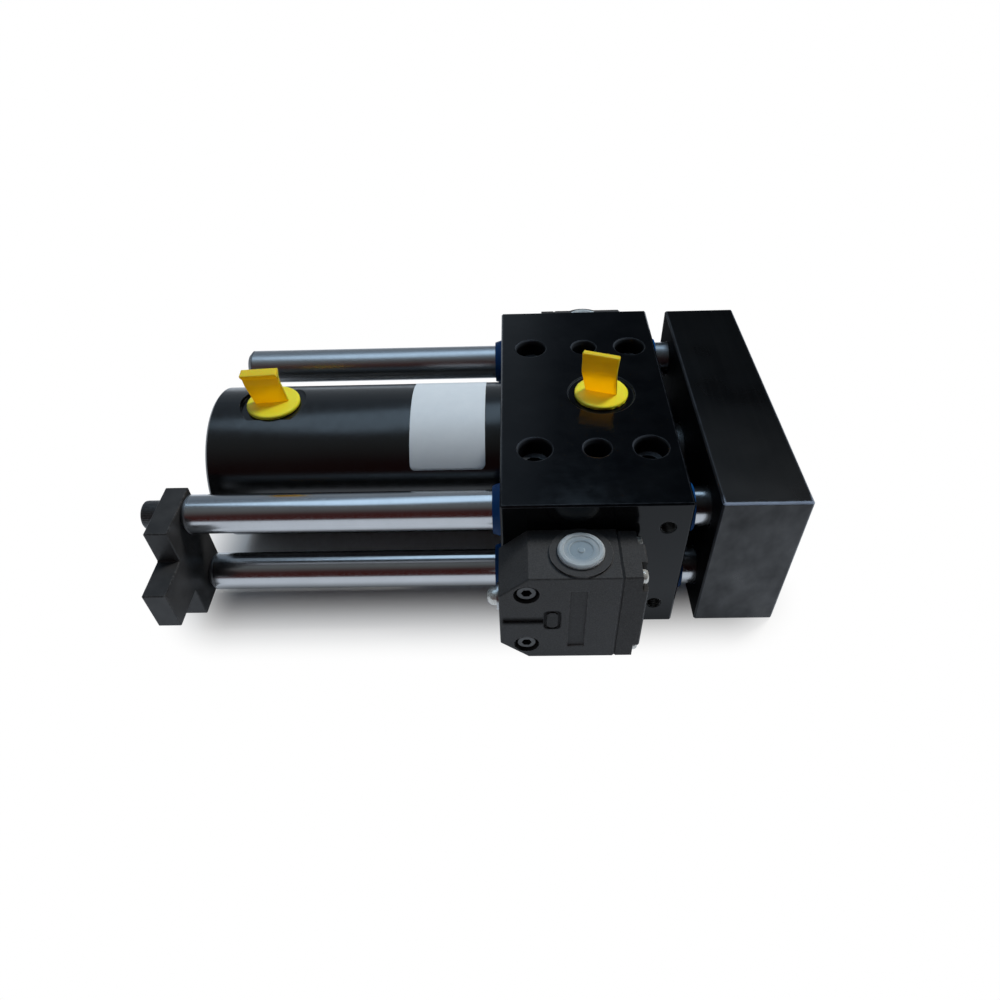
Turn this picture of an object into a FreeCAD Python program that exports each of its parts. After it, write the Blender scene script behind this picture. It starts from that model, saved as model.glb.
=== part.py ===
import FreeCAD, Part
import math
import os
import re

import Sketcher
from FreeCAD import Rotation, Vector

# Hydraulic block cylinder with guide housing, in millimetres.
# +X is the way the front plate moves out, +Z is up, and the origin is the centre of the
# guide block's base face. The side with the trip bracket is the near side, at -Y.

SIZES = {
    # Guide block
    "block_length": 81,
    "block_width": 155,
    "block_height": 80,
    "edge_bevel": 0.8,
    # Holes for fastening the block from above, and two locating holes between them
    "mount_span_x": 52,
    "mount_rod_distance": 18,
    "mount_shift": 1,
    "mount_hole": 9,
    "mount_head_bore": 15,
    "mount_head_depth": 9,
    "locating_hole": 12,
    "locating_shift": 3,
    "hole_bevel": 0.8,
    # Tapped holes in the block's sides
    "side_hole": 6.8,
    "side_hole_depth": 6.5,
    "side_hole_x": 30.7,
    "side_hole_span": 52,
    # Fits
    "running_gap": 0.03,
    "seat_gap": 0.02,
    "free_gap": 0.3,
    "thread_gap": 0.05,
    # Guide rods, bushes and wipers
    "rod_diameter": 18,
    "rod_side_distance": 18.5,
    "rod_span_z": 40,
    "rod_overhang": 143.1,
    "rod_end_bevel": 2,
    "rod_seat_depth": 22,
    "rod_bore_gap": 0.75,
    "bush_wall": 2,
    "bush_length": 20,
    "wiper_outer": 26,
    "wiper_depth": 5,
    "wiper_lip_outer": 24,
    "wiper_lip_taper": 1.2,
    "wiper_lip_length": 3.7,
    # Cylinder barrel and its rear cap
    "barrel_outer": 78,
    "barrel_length": 142.5,
    "barrel_bevel": 1.2,
    "cylinder_bore": 50,
    "spigot_outer": 62,
    "spigot_length": 22,
    "cap_outer": 58,
    "cap_length": 20,
    "cap_dish_outer": 40,
    "cap_dish_depth": 3,
    "spanner_hole": 6,
    "spanner_hole_depth": 8,
    "spanner_hole_span": 48,
    "ring_width": 4,
    "ring_depth": 3,
    "ring_inset": 8,
    # Oil ports
    "port_x": 8.5,
    "port_bore": 19,
    "port_floor_wall": 2,
    "port_face": 32.4,
    "port_face_depth": 1,
    "oil_passage": 7,
    "rear_port_inset": 29.8,
    "rear_port_height": 37,
    "rear_port_depth": 10,
    # Stroke, counted from the position shown
    "stroke_out": 136.1,
    "stroke_back": 3.9,
    # Piston and piston rod
    "piston_body": 15,
    "piston_nose": 40,
    "piston_seal_width": 6,
    "piston_seal_depth": 5,
    "piston_seal_inset": 1.6,
    "piston_guide_width": 4,
    "piston_guide_depth": 2.5,
    "piston_stud": 22,
    "piston_nut_flats": 32,
    "piston_nut_thickness": 10,
    "piston_rod_diameter": 32,
    "piston_rod_seat": 8,
    # Rod gland
    "gland_outer": 58,
    "gland_length": 28,
    "rod_seal_depth": 5,
    "rod_seal_width": 7,
    "rod_seal_inset": 8,
    "rod_wiper_depth": 4.5,
    "rod_wiper_width": 6,
    "rod_wiper_lip": 2,
    # Front plate
    "plate_gap": 11,
    "plate_thickness": 37.5,
    "plate_lift": 0.5,
    "tool_hole": 8.5,
    "tool_hole_depth": 20,
    "tool_span_y": 60,
    "tool_span_z": 50,
    # Screws: shank, head, head height, key size
    "rod_screw": 10,
    "rod_screw_head": 16,
    "rod_screw_head_height": 10,
    "rod_screw_key": 8,
    "rod_screw_grip": 18,
    "center_screw": 16,
    "center_screw_head": 24,
    "center_screw_head_height": 16,
    "center_screw_key": 14,
    "center_screw_grip": 25,
    "bracket_screw": 8,
    "bracket_screw_head": 13,
    "bracket_screw_head_height": 8,
    "bracket_screw_key": 6,
    "bracket_screw_grip": 16,
    "head_bore_gap": 0.75,
    "head_sink": 1,
    "key_depth_ratio": 0.55,
    # Trip bracket
    "bracket_thickness": 10.5,
    "bracket_inner_edge": 9.6,
    "bracket_outer_edge": 19.9,
    "bracket_end_edge": 8,
    "bracket_bevel": 0.4,
    "trip_arm_reach": 39.8,
    "trip_arm_height": 21,
    # Position switches
    "switch_overhang": 1.1,
    "switch_length": 50.1,
    "switch_depth": 26.9,
    "switch_height": 55,
    "switch_drop": 1.9,
    "switch_corner_x": 12.5,
    "switch_corner_z": 11,
    "switch_rounding": 0.7,
    "switch_cavity_length": 31,
    "switch_cavity_width": 17,
    "switch_cavity_height": 40,
    "cover_thickness": 10.7,
    "cover_inset": 0.4,
    "cover_notch": 8.5,
    "cover_notch_depth": 2.8,
    "gasket_thickness": 0.6,
    "cover_screw": 3.2,
    "cover_screw_head": 6,
    "cover_screw_head_height": 2.6,
    "cover_screw_head_rim": 1,
    "cover_screw_crown": 3.2,
    "cover_screw_dome": 2.6,
    "cover_screw_grip": 8,
    "switch_screw": 5,
    "switch_screw_head": 8.5,
    "switch_screw_head_height": 5,
    "switch_screw_key": 4,
    "switch_screw_x": 11.6,
    "switch_screw_span": 34.8,
    "switch_screw_grip": 6,
    "switch_head_bore": 11,
    "switch_head_sink": 1,
    "entry_x": 34.4,
    "entry_bore": 14.4,
    "entry_boss": 26.4,
    "entry_boss_height": 1,
    "entry_plug_flange": 19.5,
    "entry_plug_height": 2,
    "entry_plug_shank": 7,
    "entry_ring_outer": 14.4,
    "entry_ring_inner": 9.6,
    "entry_ring_step": 0.5,
    "entry_ring_slope": 0.4,
    "entry_nub": 2.4,
    "face_groove_start": 1.6,
    "face_groove_length": 17,
    "face_groove_width": 2.6,
    "face_relief_depth": 0.7,
    "face_button_x": 22.6,
    "face_button_width": 7,
    "face_button_height": 12.4,
    "face_button_ring": 1.1,
    "face_button_corner": 2,
    "face_panel_x": 29.6,
    "face_panel_width": 7.2,
    "face_panel_height": 39,
    "plunger_diameter": 8,
    "plunger_reach": 5.6,
    "plunger_dome": 3.4,
    "plunger_travel": 4,
    "plunger_bush_wall": 2,
    "plunger_bush_collar": 1.2,
    "contact_length": 24,
    "contact_width": 15,
    "contact_height": 30,
    # Pull-tab plugs in the oil ports
    "plug_flange": 26,
    "plug_flange_height": 2.2,
    "plug_shank": 18.4,
    "plug_shank_end": 17,
    "plug_shank_length": 7,
    "plug_tab_foot": 15.6,
    "plug_tab_width": 17.9,
    "plug_tab_height": 22,
    "plug_tab_thickness": 2.2,
    "plug_tab_bow": 2.4,
    "plug_rim_height": 2,
    "plug_rim_thickness": 3.6,
}

# Places and sizes that follow from the driving dimensions
DERIVED = {
    "front_face": "block_length / 2",
    "rear_face": "-block_length / 2",
    "near_face": "-block_width / 2",
    "axis_z": "block_height / 2",
    "rod_y": "block_width / 2 - rod_side_distance",
    "mount_y": "rod_y - mount_rod_distance",
    "rod_radius": "rod_diameter / 2",
    "rod_rear": "rear_face - rod_overhang",
    "bush_outer": "rod_diameter + 2 * bush_wall",
    "barrel_rear": "rear_face - barrel_length",
    "cap_face": "barrel_rear + cap_length",
    "spigot_front": "rear_face + spigot_length",
    "bore_radius": "cylinder_bore / 2",
    "port_depth": "axis_z - bore_radius - port_face_depth - port_floor_wall",
    "rear_port_x": "barrel_rear + rear_port_inset",
    "gland_rear": "front_face - gland_length",
    "plate_rear": "front_face + plate_gap",
    "plate_front": "plate_rear + plate_thickness",
    "plate_top": "block_height - plate_lift",
    "piston_end": "cap_face + free_gap + stroke_back",
    "piston_front": "gland_rear - free_gap - stroke_out",
    "piston_rear": "piston_end + piston_nut_thickness",
    "piston_shoulder": "piston_rear + piston_body",
    "piston_radius": "bore_radius - free_gap",
    "seal_rear": "piston_rear + piston_seal_inset",
    "seal_front": "seal_rear + piston_seal_width",
    "guide_rear": "seal_front + piston_seal_inset",
    "guide_front": "guide_rear + piston_guide_width",
    "ram_radius": "piston_rod_diameter / 2",
    "ram_front": "plate_rear + piston_rod_seat",
    "bracket_front": "rod_rear",
    "bracket_rear": "rod_rear - bracket_thickness",
    "switch_z": "axis_z - switch_drop",
    "switch_back": "rear_face - switch_overhang",
    "switch_joint": "switch_back + switch_length",
    "switch_face": "near_face - switch_depth",
    "switch_y": "near_face - switch_depth / 2",
    "switch_top": "switch_z + switch_height / 2",
    "switch_base": "switch_z - switch_height / 2",
    "switch_screw_place": "switch_back + switch_screw_x",
    "cavity_back": "switch_joint - switch_cavity_length",
    "cover_back": "switch_joint + gasket_thickness",
    "cover_front": "cover_back + cover_thickness",
    "notch_floor": "cover_front - cover_notch_depth",
    "cover_screw_y": "switch_depth / 2 - cover_notch / 2",
    "cover_screw_z": "switch_height / 2 - cover_notch / 2",
    "entry_place": "switch_back + entry_x",
    "entry_top": "switch_top + entry_boss_height",
    "plunger_radius": "plunger_diameter / 2",
    "plunger_bush_outer": "plunger_diameter + 2 * plunger_bush_wall",
    "plunger_tip": "switch_back - plunger_reach",
    "plunger_tail": "cavity_back - free_gap - plunger_travel",
}

doc = FreeCAD.newDocument("block_cylinder")
sheet = doc.addObject("Spreadsheet::Sheet", "Sizes")
for row, (alias, size) in enumerate(SIZES.items(), start=1):
    sheet.set(f"A{row}", alias)
    sheet.set(f"B{row}", str(size))
    sheet.setAlias(f"B{row}", alias)
doc.recompute()

sub_parts = []
SAME_PLACE = 1e-6
HALF_TURN = 180
FULL_TURN = 360
FRONT_TAB_TURN = -16
REAR_TAB_TURN = 4


def link(text):
    """Write an expression's words as references to the sheet."""

    def refer(match):
        word = match.group(0)
        if word in SIZES:
            return f"Sizes.{word}"
        if word in DERIVED:
            return f"({link(DERIVED[word])})"
        return word

    return re.sub(r"[a-z_]+", refer, text)


def number(text):
    return float(sheet.evalExpression(link(text)))


def bind(item, name, text):
    item.setExpression(name, link(text))


def new_body(label, at=("0", "0", "0"), turn=0, kept=True):
    """An empty body, at a place and turned about Z."""
    body = doc.addObject("PartDesign::Body", label)
    body.Label = label
    body.Placement.Rotation = Rotation(Vector(0, 0, 1), turn)
    for letter, text in zip("xyz", at):
        bind(body, f"Placement.Base.{letter}", text)
    if kept:
        sub_parts.append(body)
    return body


def new_sketch(body, plane, offset="0"):
    """A sketch on one of the body's origin planes, moved along the plane's normal."""
    sketch = body.newObject("Sketcher::SketchObject", f"{body.Label}_sketch")
    support = next(item for item in body.Origin.OriginFeatures if item.Role == plane)
    sketch.AttachmentSupport = [(support, "")]
    sketch.MapMode = "FlatFace"
    bind(sketch, "AttachmentOffset.Base.z", offset)
    return sketch


def fix_point(sketch, geometry, point, x, y):
    """Hold one point of a sketch at its distances from the sketch's origin."""
    for letter, text in (("X", x), ("Y", y)):
        rule = Sketcher.Constraint(f"Distance{letter}", -1, 1, geometry, point, number(text))
        index = sketch.addConstraint(rule)
        bind(sketch, f"Constraints[{index}]", text)


def bend_shape(start, end, radius, side):
    """An arc from start to end that bulges to the left or the right of the way along it."""
    chord = end - start
    inwards = Vector(-chord.y, chord.x, 0).normalize()
    first, last = start, end
    if side == "left":
        inwards = inwards * -1
        first, last = end, start
    center = (start + end) / 2 + inwards * math.sqrt(radius**2 - chord.Length**2 / 4)
    angles = [math.atan2(point.y - center.y, point.x - center.x) for point in (first, last)]
    return Part.ArcOfCircle(Part.Circle(center, Vector(0, 0, 1), radius), *angles)


def outline(sketch, points):
    """A closed outline through points given as pairs of expressions.

    A point with a radius and a side after its pair starts an arc instead of a straight line.
    """
    places = [Vector(number(x), number(y), 0) for x, y, *bend in points]
    pieces = []
    for (x, y, *bend), start, end in zip(points, places, places[1:] + places[:1]):
        if bend:
            radius, side = bend
            index = sketch.addGeometry(bend_shape(start, end, number(radius), side), False)
            rule = sketch.addConstraint(Sketcher.Constraint("Radius", index, number(radius)))
            bind(sketch, f"Constraints[{rule}]", radius)
            pieces.append((index, 1, 2) if side == "right" else (index, 2, 1))
        else:
            pieces.append((sketch.addGeometry(Part.LineSegment(start, end), False), 1, 2))
    for (index, first, last), (after, entry, leaving) in zip(pieces, pieces[1:] + pieces[:1]):
        sketch.addConstraint(Sketcher.Constraint("Coincident", index, last, after, entry))
    for (index, first, last), (x, y, *bend) in zip(pieces, points):
        fix_point(sketch, index, first, x, y)


def rectangle(sketch, low_x, low_y, high_x, high_y):
    outline(sketch, [(low_x, low_y), (high_x, low_y), (high_x, high_y), (low_x, high_y)])


def circle(sketch, x, y, diameter):
    shape = Part.Circle(Vector(number(x), number(y), 0), Vector(0, 0, 1), number(diameter) / 2)
    index = sketch.addGeometry(shape, False)
    fix_point(sketch, index, 3, x, y)
    rule = sketch.addConstraint(Sketcher.Constraint("Diameter", index, number(diameter)))
    bind(sketch, f"Constraints[{rule}]", diameter)


def pad(body, sketch, length):
    feature = body.newObject("PartDesign::Pad", f"{body.Label}_pad")
    feature.Profile = sketch
    bind(feature, "Length", length)
    doc.recompute()
    return feature


def pocket(body, sketch, depth, backwards=False):
    """Cut a sketch into the body, and make sure that it took material away."""
    before = body.Shape.Volume
    feature = body.newObject("PartDesign::Pocket", f"{body.Label}_pocket")
    feature.Profile = sketch
    feature.Reversed = backwards
    bind(feature, "Length", depth)
    doc.recompute()
    if body.Shape.Volume >= before:
        raise ValueError(f"{body.Label}: a pocket cuts nothing")
    return feature


def bevel(body, feature, size):
    """Break every edge of a plain block."""
    edges = [f"Edge{count}" for count in range(1, len(feature.Shape.Edges) + 1)]
    cut = body.newObject("PartDesign::Chamfer", f"{body.Label}_bevel")
    cut.Base = (feature, edges)
    bind(cut, "Size", size)
    doc.recompute()


def break_rims(body, axis, level, size):
    """Bevel the round edges that lie in the plane at a level along an axis."""
    feature = body.Tip
    height = number(level)
    rims = []
    for count, edge in enumerate(feature.Shape.Edges, start=1):
        middle = getattr(edge.CenterOfMass, axis)
        round_edge = edge.Curve.TypeId == "Part::GeomCircle" and edge.isClosed()
        if round_edge and abs(middle - height) < SAME_PLACE:
            rims.append(f"Edge{count}")
    cut = body.newObject("PartDesign::Chamfer", f"{body.Label}_rims")
    cut.Base = (feature, rims)
    bind(cut, "Size", size)
    doc.recompute()


def revolve(body, plane, axis, points):
    sketch = new_sketch(body, plane)
    outline(sketch, points)
    feature = body.newObject("PartDesign::Revolution", f"{body.Label}_turn")
    feature.Profile = sketch
    feature.ReferenceAxis = (sketch, [axis])
    feature.Angle = FULL_TURN
    doc.recompute()
    return feature


def turned(label, points, at, turn=0, kept=True):
    """A piece turned about its own X axis: points are distance along X, then radius."""
    body = new_body(label, at, turn, kept)
    revolve(body, "XZ_Plane", "H_Axis", points)
    return body


def ring(label, low_x, high_x, inner, outer, at):
    """A plain ring about X, from its end places and its radii."""
    return turned(label, [(low_x, inner), (high_x, inner), (high_x, outer), (low_x, outer)], at)


def hexagon(sketch, x, y, flats):
    """A hexagon with two corners on the sketch's X direction."""
    half = f"({flats}) / 2"
    corner = f"({flats}) / sqrt(3)"
    outline(
        sketch,
        [
            (f"{x} + {corner}", y),
            (f"{x} + {corner} / 2", f"{y} + {half}"),
            (f"{x} - {corner} / 2", f"{y} + {half}"),
            (f"{x} - {corner}", y),
            (f"{x} - {corner} / 2", f"{y} - {half}"),
            (f"{x} + {corner} / 2", f"{y} - {half}"),
        ],
    )


def socket_screw(label, name, length, at, plane, turn=0):
    """A socket-head screw whose seat is at its own origin, with its head to the plus side.

    plane is YZ_Plane for a screw along Y and XZ_Plane for one along X.
    """
    body = new_body(label, at, turn, kept=False)
    head = f"{name}_head / 2"
    height = f"{name}_head_height"
    shank = f"{name} / 2"
    points = [
        (f"-({length})", "0"),
        (f"-({length})", shank),
        ("0", shank),
        ("0", head),
        (f"{height} - hole_bevel / 2", head),
        (height, f"{head} - hole_bevel / 2"),
        (height, "0"),
    ]
    revolve(body, plane, "H_Axis", points)
    across = "YZ_Plane" if plane == "XZ_Plane" else "XZ_Plane"
    outwards = "" if plane == "XZ_Plane" else "-"
    sketch = new_sketch(body, across, f"{outwards}{height}")
    hexagon(sketch, "0", "0", f"{name}_key")
    pocket(body, sketch, f"{height} * key_depth_ratio", backwards=plane != "XZ_Plane")
    return body


def group(label, members):
    """Identical pieces that share one node, each still a solid of its own."""
    item = doc.addObject("Part::Compound", label)
    item.Label = label
    item.Links = members
    sub_parts.append(item)


ROD_PLACES = {
    "near_upper": ("-rod_y", "axis_z + rod_span_z / 2"),
    "near_lower": ("-rod_y", "axis_z - rod_span_z / 2"),
    "far_upper": ("rod_y", "axis_z + rod_span_z / 2"),
    "far_lower": ("rod_y", "axis_z - rod_span_z / 2"),
}
NEAR_RODS = [ROD_PLACES["near_upper"], ROD_PLACES["near_lower"]]
CENTER = ("0", "0", "axis_z")


def cut_circles(body, plane, offset, places, diameter, depth, backwards=False):
    sketch = new_sketch(body, plane, offset)
    for x, y in places:
        circle(sketch, x, y, diameter)
    pocket(body, sketch, depth, backwards)


def guide_block():
    body = new_body("guide_block")
    sketch = new_sketch(body, "YZ_Plane", "rear_face")
    rectangle(sketch, "near_face", "0", "-near_face", "block_height")
    bevel(body, pad(body, sketch, "block_length"), "edge_bevel")

    # Bores for the rods, with seats for a bush and a wiper at each end
    rods = list(ROD_PLACES.values())
    bore = "rod_diameter + 2 * rod_bore_gap"
    cut_circles(body, "YZ_Plane", "front_face", rods, bore, "block_length")
    for end, backwards in (("front_face", False), ("rear_face", True)):
        cut_circles(body, "YZ_Plane", end, rods, "bush_outer", "wiper_depth + bush_length", backwards)
        cut_circles(body, "YZ_Plane", end, rods, "wiper_outer", "wiper_depth", backwards)

    # Cylinder chamber, with seats for the barrel's spigot and the rod gland
    middle = [("0", "axis_z")]
    cut_circles(body, "YZ_Plane", "front_face", middle, "cylinder_bore", "block_length")
    cut_circles(body, "YZ_Plane", "front_face", middle, "gland_outer", "gland_length")
    cut_circles(body, "YZ_Plane", "rear_face", middle, "spigot_outer", "spigot_length", True)

    # Fastening and locating holes from above
    columns = ("mount_shift - mount_span_x / 2", "mount_shift + mount_span_x / 2")
    rows = ("-mount_y", "mount_y")
    corners = [(x, y) for x in columns for y in rows]
    cut_circles(body, "XY_Plane", "block_height", corners, "mount_hole", "block_height")
    cut_circles(body, "XY_Plane", "block_height", corners, "mount_head_bore", "mount_head_depth")
    locating = [("locating_shift", y) for y in rows]
    cut_circles(body, "XY_Plane", "block_height", locating, "locating_hole", "block_height")
    break_rims(body, "z", "block_height", "hole_bevel")

    # Oil port of the rod side
    port = [("port_x", "0")]
    port_floor = "port_face_depth + port_depth"
    cut_circles(body, "XY_Plane", "block_height", port, "port_face", "port_face_depth")
    cut_circles(body, "XY_Plane", "block_height", port, "port_bore", port_floor)
    cut_circles(body, "XY_Plane", "block_height", port, "oil_passage", "block_height / 2")

    # Tapped holes in the two sides, the far side turned half round from the near one
    for sign, face, backwards in (("", "-near_face", False), ("-", "near_face", True)):
        spare = [(f"{sign}side_hole_x", f"axis_z {way} side_hole_span / 2") for way in "+-"]
        cut_circles(body, "XZ_Plane", face, spare, "side_hole", "side_hole_depth", backwards)
        screw = "switch_screw + 2 * thread_gap"
        held = [(f"{sign}(switch_screw_place)", f"switch_z {way} switch_screw_span / 2") for way in "+-"]
        cut_circles(body, "XZ_Plane", face, held, screw, "side_hole_depth", backwards)


def cylinder_barrel():
    outer = "barrel_outer / 2"
    spigot = "spigot_outer / 2 - seat_gap"
    thread = "cap_outer / 2"
    groove = "rear_face + ring_inset"
    points = [
        ("barrel_rear", thread),
        ("barrel_rear", f"{outer} - barrel_bevel"),
        ("barrel_rear + barrel_bevel", outer),
        ("rear_face", outer),
        ("rear_face", spigot),
        (groove, spigot),
        (groove, f"{spigot} - ring_depth"),
        (f"{groove} + ring_width", f"{spigot} - ring_depth"),
        (f"{groove} + ring_width", spigot),
        ("spigot_front", spigot),
        ("spigot_front", "bore_radius"),
        ("cap_face", "bore_radius"),
        ("cap_face", thread),
    ]
    body = turned("cylinder_barrel", points, CENTER)

    # Oil port of the piston side, with a flat face cut into the round wall
    port = [("rear_port_x", "0")]
    cut_circles(body, "XY_Plane", outer, port, "port_face", f"{outer} - rear_port_height")
    cut_circles(body, "XY_Plane", "rear_port_height", port, "port_bore", "rear_port_depth")
    cut_circles(body, "XY_Plane", "rear_port_height", port, "oil_passage", "rear_port_height")

    seal = f"{spigot} - ring_depth + seat_gap"
    ring("barrel_seal", groove, f"{groove} + ring_width", seal, "spigot_outer / 2 - seat_gap", CENTER)


def cylinder_cap():
    outer = "cap_outer / 2 - seat_gap"
    groove = "cap_face - ring_inset"
    points = [
        ("barrel_rear + cap_dish_depth", "0"),
        ("barrel_rear + cap_dish_depth", "cap_dish_outer / 2"),
        ("barrel_rear", "cap_dish_outer / 2"),
        ("barrel_rear", outer),
        (groove, outer),
        (groove, f"{outer} - ring_depth"),
        (f"{groove} + ring_width", f"{outer} - ring_depth"),
        (f"{groove} + ring_width", outer),
        ("cap_face", outer),
        ("cap_face", "0"),
    ]
    body = turned("cylinder_cap", points, CENTER)
    holes = [(f"{way}spanner_hole_span / 2", "0") for way in ("", "-")]
    cut_circles(body, "YZ_Plane", "barrel_rear", holes, "spanner_hole", "spanner_hole_depth", True)
    seal = f"{outer} - ring_depth + seat_gap"
    ring("cap_seal", groove, f"{groove} + ring_width", seal, outer, CENTER)


def rod_gland():
    outer = "gland_outer / 2 - seat_gap"
    inner = "ram_radius + running_gap"
    groove = "gland_rear + ring_inset"
    seal_rear = "gland_rear + rod_seal_inset"
    seal_front = f"{seal_rear} + rod_seal_width"
    wiper_rear = "front_face - rod_wiper_width"
    wiper_outer = f"{inner} + rod_wiper_depth"
    points = [
        ("gland_rear", inner),
        (seal_rear, inner),
        (seal_rear, f"{inner} + rod_seal_depth"),
        (seal_front, f"{inner} + rod_seal_depth"),
        (seal_front, inner),
        (wiper_rear, inner),
        (wiper_rear, wiper_outer),
        ("front_face", wiper_outer),
        ("front_face", outer),
        (f"{groove} + ring_width", outer),
        (f"{groove} + ring_width", f"{outer} - ring_depth"),
        (groove, f"{outer} - ring_depth"),
        (groove, outer),
        ("gland_rear", outer),
    ]
    turned("rod_gland", points, CENTER)
    seal = f"{outer} - ring_depth + seat_gap"
    ring("gland_seal", groove, f"{groove} + ring_width", seal, outer, CENTER)
    ring("rod_seal", seal_rear, seal_front, inner, f"{inner} + rod_seal_depth - seat_gap", CENTER)
    lip = [
        (wiper_rear, inner),
        ("front_face + rod_wiper_lip", inner),
        ("front_face + rod_wiper_lip", f"{inner} + rod_wiper_depth / 3"),
        ("front_face", f"{inner} + rod_wiper_depth / 2"),
        ("front_face", f"{wiper_outer} - seat_gap"),
        (wiper_rear, f"{wiper_outer} - seat_gap"),
    ]
    turned("rod_wiper", lip, CENTER)


def guide_rods():
    """The four rods, and for each a bush and a wiper at both faces of the block."""
    thread_rear = "bracket_screw / 2 + thread_gap"
    thread_front = "rod_screw / 2 + thread_gap"
    rear_floor = "rod_rear + bracket_screw_grip + free_gap"
    rod_front = "plate_rear + rod_seat_depth"
    front_floor = f"{rod_front} - rod_screw_grip - free_gap"
    rod_points = [
        (rear_floor, "0"),
        (rear_floor, thread_rear),
        ("rod_rear", thread_rear),
        ("rod_rear", "rod_radius - rod_end_bevel"),
        ("rod_rear + rod_end_bevel", "rod_radius"),
        (f"{rod_front} - hole_bevel", "rod_radius"),
        (rod_front, "rod_radius - hole_bevel"),
        (rod_front, thread_front),
        (front_floor, thread_front),
        (front_floor, "0"),
    ]
    bush_inner = "rod_radius + running_gap"
    for place, (y, z) in ROD_PLACES.items():
        at = ("0", y, z)
        turned(f"guide_rod_{place}", rod_points, at)
        for end, sign in (("front", ""), ("rear", "-")):
            face = f"{sign}front_face"
            way = "-" if sign else "+"
            back = "+" if sign else "-"
            seat = f"{face} {back} wiper_depth"
            bush_end = f"{seat} {back} bush_length"
            ring(f"guide_bush_{end}_{place}", bush_end, seat, bush_inner, "bush_outer / 2 - seat_gap", at)
            lip_end = f"{face} {way} wiper_lip_length"
            wiper = [
                (seat, bush_inner),
                (lip_end, bush_inner),
                (lip_end, "wiper_lip_outer / 2 - wiper_lip_taper"),
                (face, "wiper_lip_outer / 2"),
                (face, "wiper_outer / 2 - seat_gap"),
                (seat, "wiper_outer / 2 - seat_gap"),
            ]
            turned(f"guide_wiper_{end}_{place}", wiper, at)


def front_plate():
    body = new_body("front_plate")
    sketch = new_sketch(body, "YZ_Plane", "plate_rear")
    rectangle(sketch, "near_face", "plate_lift", "-near_face", "plate_top")
    bevel(body, pad(body, sketch, "plate_thickness"), "edge_bevel")
    rods = list(ROD_PLACES.values())
    middle = [("0", "axis_z")]
    rod_seat = "rod_diameter + 2 * seat_gap"
    ram_seat = "piston_rod_diameter + 2 * seat_gap"
    cut_circles(body, "YZ_Plane", "plate_rear", rods, rod_seat, "rod_seat_depth", True)
    cut_circles(body, "YZ_Plane", "plate_rear", middle, ram_seat, "piston_rod_seat", True)
    for places, name in ((rods, "rod_screw"), (middle, "center_screw")):
        shank = f"{name} + 2 * head_bore_gap"
        head = f"{name}_head + 2 * head_bore_gap"
        cut_circles(body, "YZ_Plane", "plate_front", places, shank, "plate_thickness")
        cut_circles(body, "YZ_Plane", "plate_front", places, head, f"{name}_head_height + head_sink")
    break_rims(body, "x", "plate_front", "hole_bevel")
    columns = ("-tool_span_y / 2", "tool_span_y / 2")
    tools = [(y, f"axis_z {way} tool_span_z / 2") for y in columns for way in "+-"]
    cut_circles(body, "YZ_Plane", "plate_front", tools, "tool_hole", "tool_hole_depth")

    # Screws from the plate's front into the rods
    rod_seat_x = "plate_front - rod_screw_head_height - head_sink"
    rod_length = f"{rod_seat_x} - plate_rear - rod_seat_depth + rod_screw_grip"
    screws = []
    for place, (y, z) in ROD_PLACES.items():
        label = f"rod_screw_{place}"
        screws.append(socket_screw(label, "rod_screw", rod_length, (rod_seat_x, y, z), "XZ_Plane"))
    group("guide_rod_screws", screws)
    center_x = "plate_front - center_screw_head_height - head_sink"
    center_length = f"{center_x} - ram_front + center_screw_grip"
    at = (center_x, "0", "axis_z")
    center = socket_screw("piston_rod_screw", "center_screw", center_length, at, "XZ_Plane")
    sub_parts.append(center)


def piston_and_rod():
    stud = "piston_stud / 2"
    thread = "center_screw / 2 + thread_gap"
    thread_floor = "ram_front - center_screw_grip - free_gap"
    rod_points = [
        ("piston_end + free_gap", "0"),
        ("piston_end + free_gap", stud),
        ("piston_front", stud),
        ("piston_front", "ram_radius"),
        ("ram_front - hole_bevel", "ram_radius"),
        ("ram_front", "ram_radius - hole_bevel"),
        ("ram_front", thread),
        (thread_floor, thread),
        (thread_floor, "0"),
    ]
    turned("piston_rod", rod_points, CENTER)

    seal_floor = "piston_radius - piston_seal_depth"
    guide_floor = "piston_radius - piston_guide_depth"
    bore = f"{stud} + seat_gap"
    piston_points = [
        ("piston_rear", bore),
        ("piston_rear", "piston_radius"),
        ("seal_rear", "piston_radius"),
        ("seal_rear", seal_floor),
        ("seal_front", seal_floor),
        ("seal_front", "piston_radius"),
        ("guide_rear", "piston_radius"),
        ("guide_rear", guide_floor),
        ("guide_front", guide_floor),
        ("guide_front", "piston_radius"),
        ("piston_shoulder", "piston_radius"),
        ("piston_shoulder", "piston_nose / 2"),
        ("piston_front", "piston_nose / 2"),
        ("piston_front", bore),
    ]
    turned("piston", piston_points, CENTER)
    wall = "bore_radius - running_gap"
    ring("piston_seal", "seal_rear", "seal_front", f"{seal_floor} + seat_gap", wall, CENTER)
    ring("piston_guide_ring", "guide_rear", "guide_front", f"{guide_floor} + seat_gap", wall, CENTER)

    nut = new_body("piston_nut")
    sketch = new_sketch(nut, "YZ_Plane", "piston_end")
    hexagon(sketch, "0", "axis_z", "piston_nut_flats")
    circle(sketch, "0", "axis_z", "piston_stud + 2 * thread_gap")
    pad(nut, sketch, "piston_nut_thickness")


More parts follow.
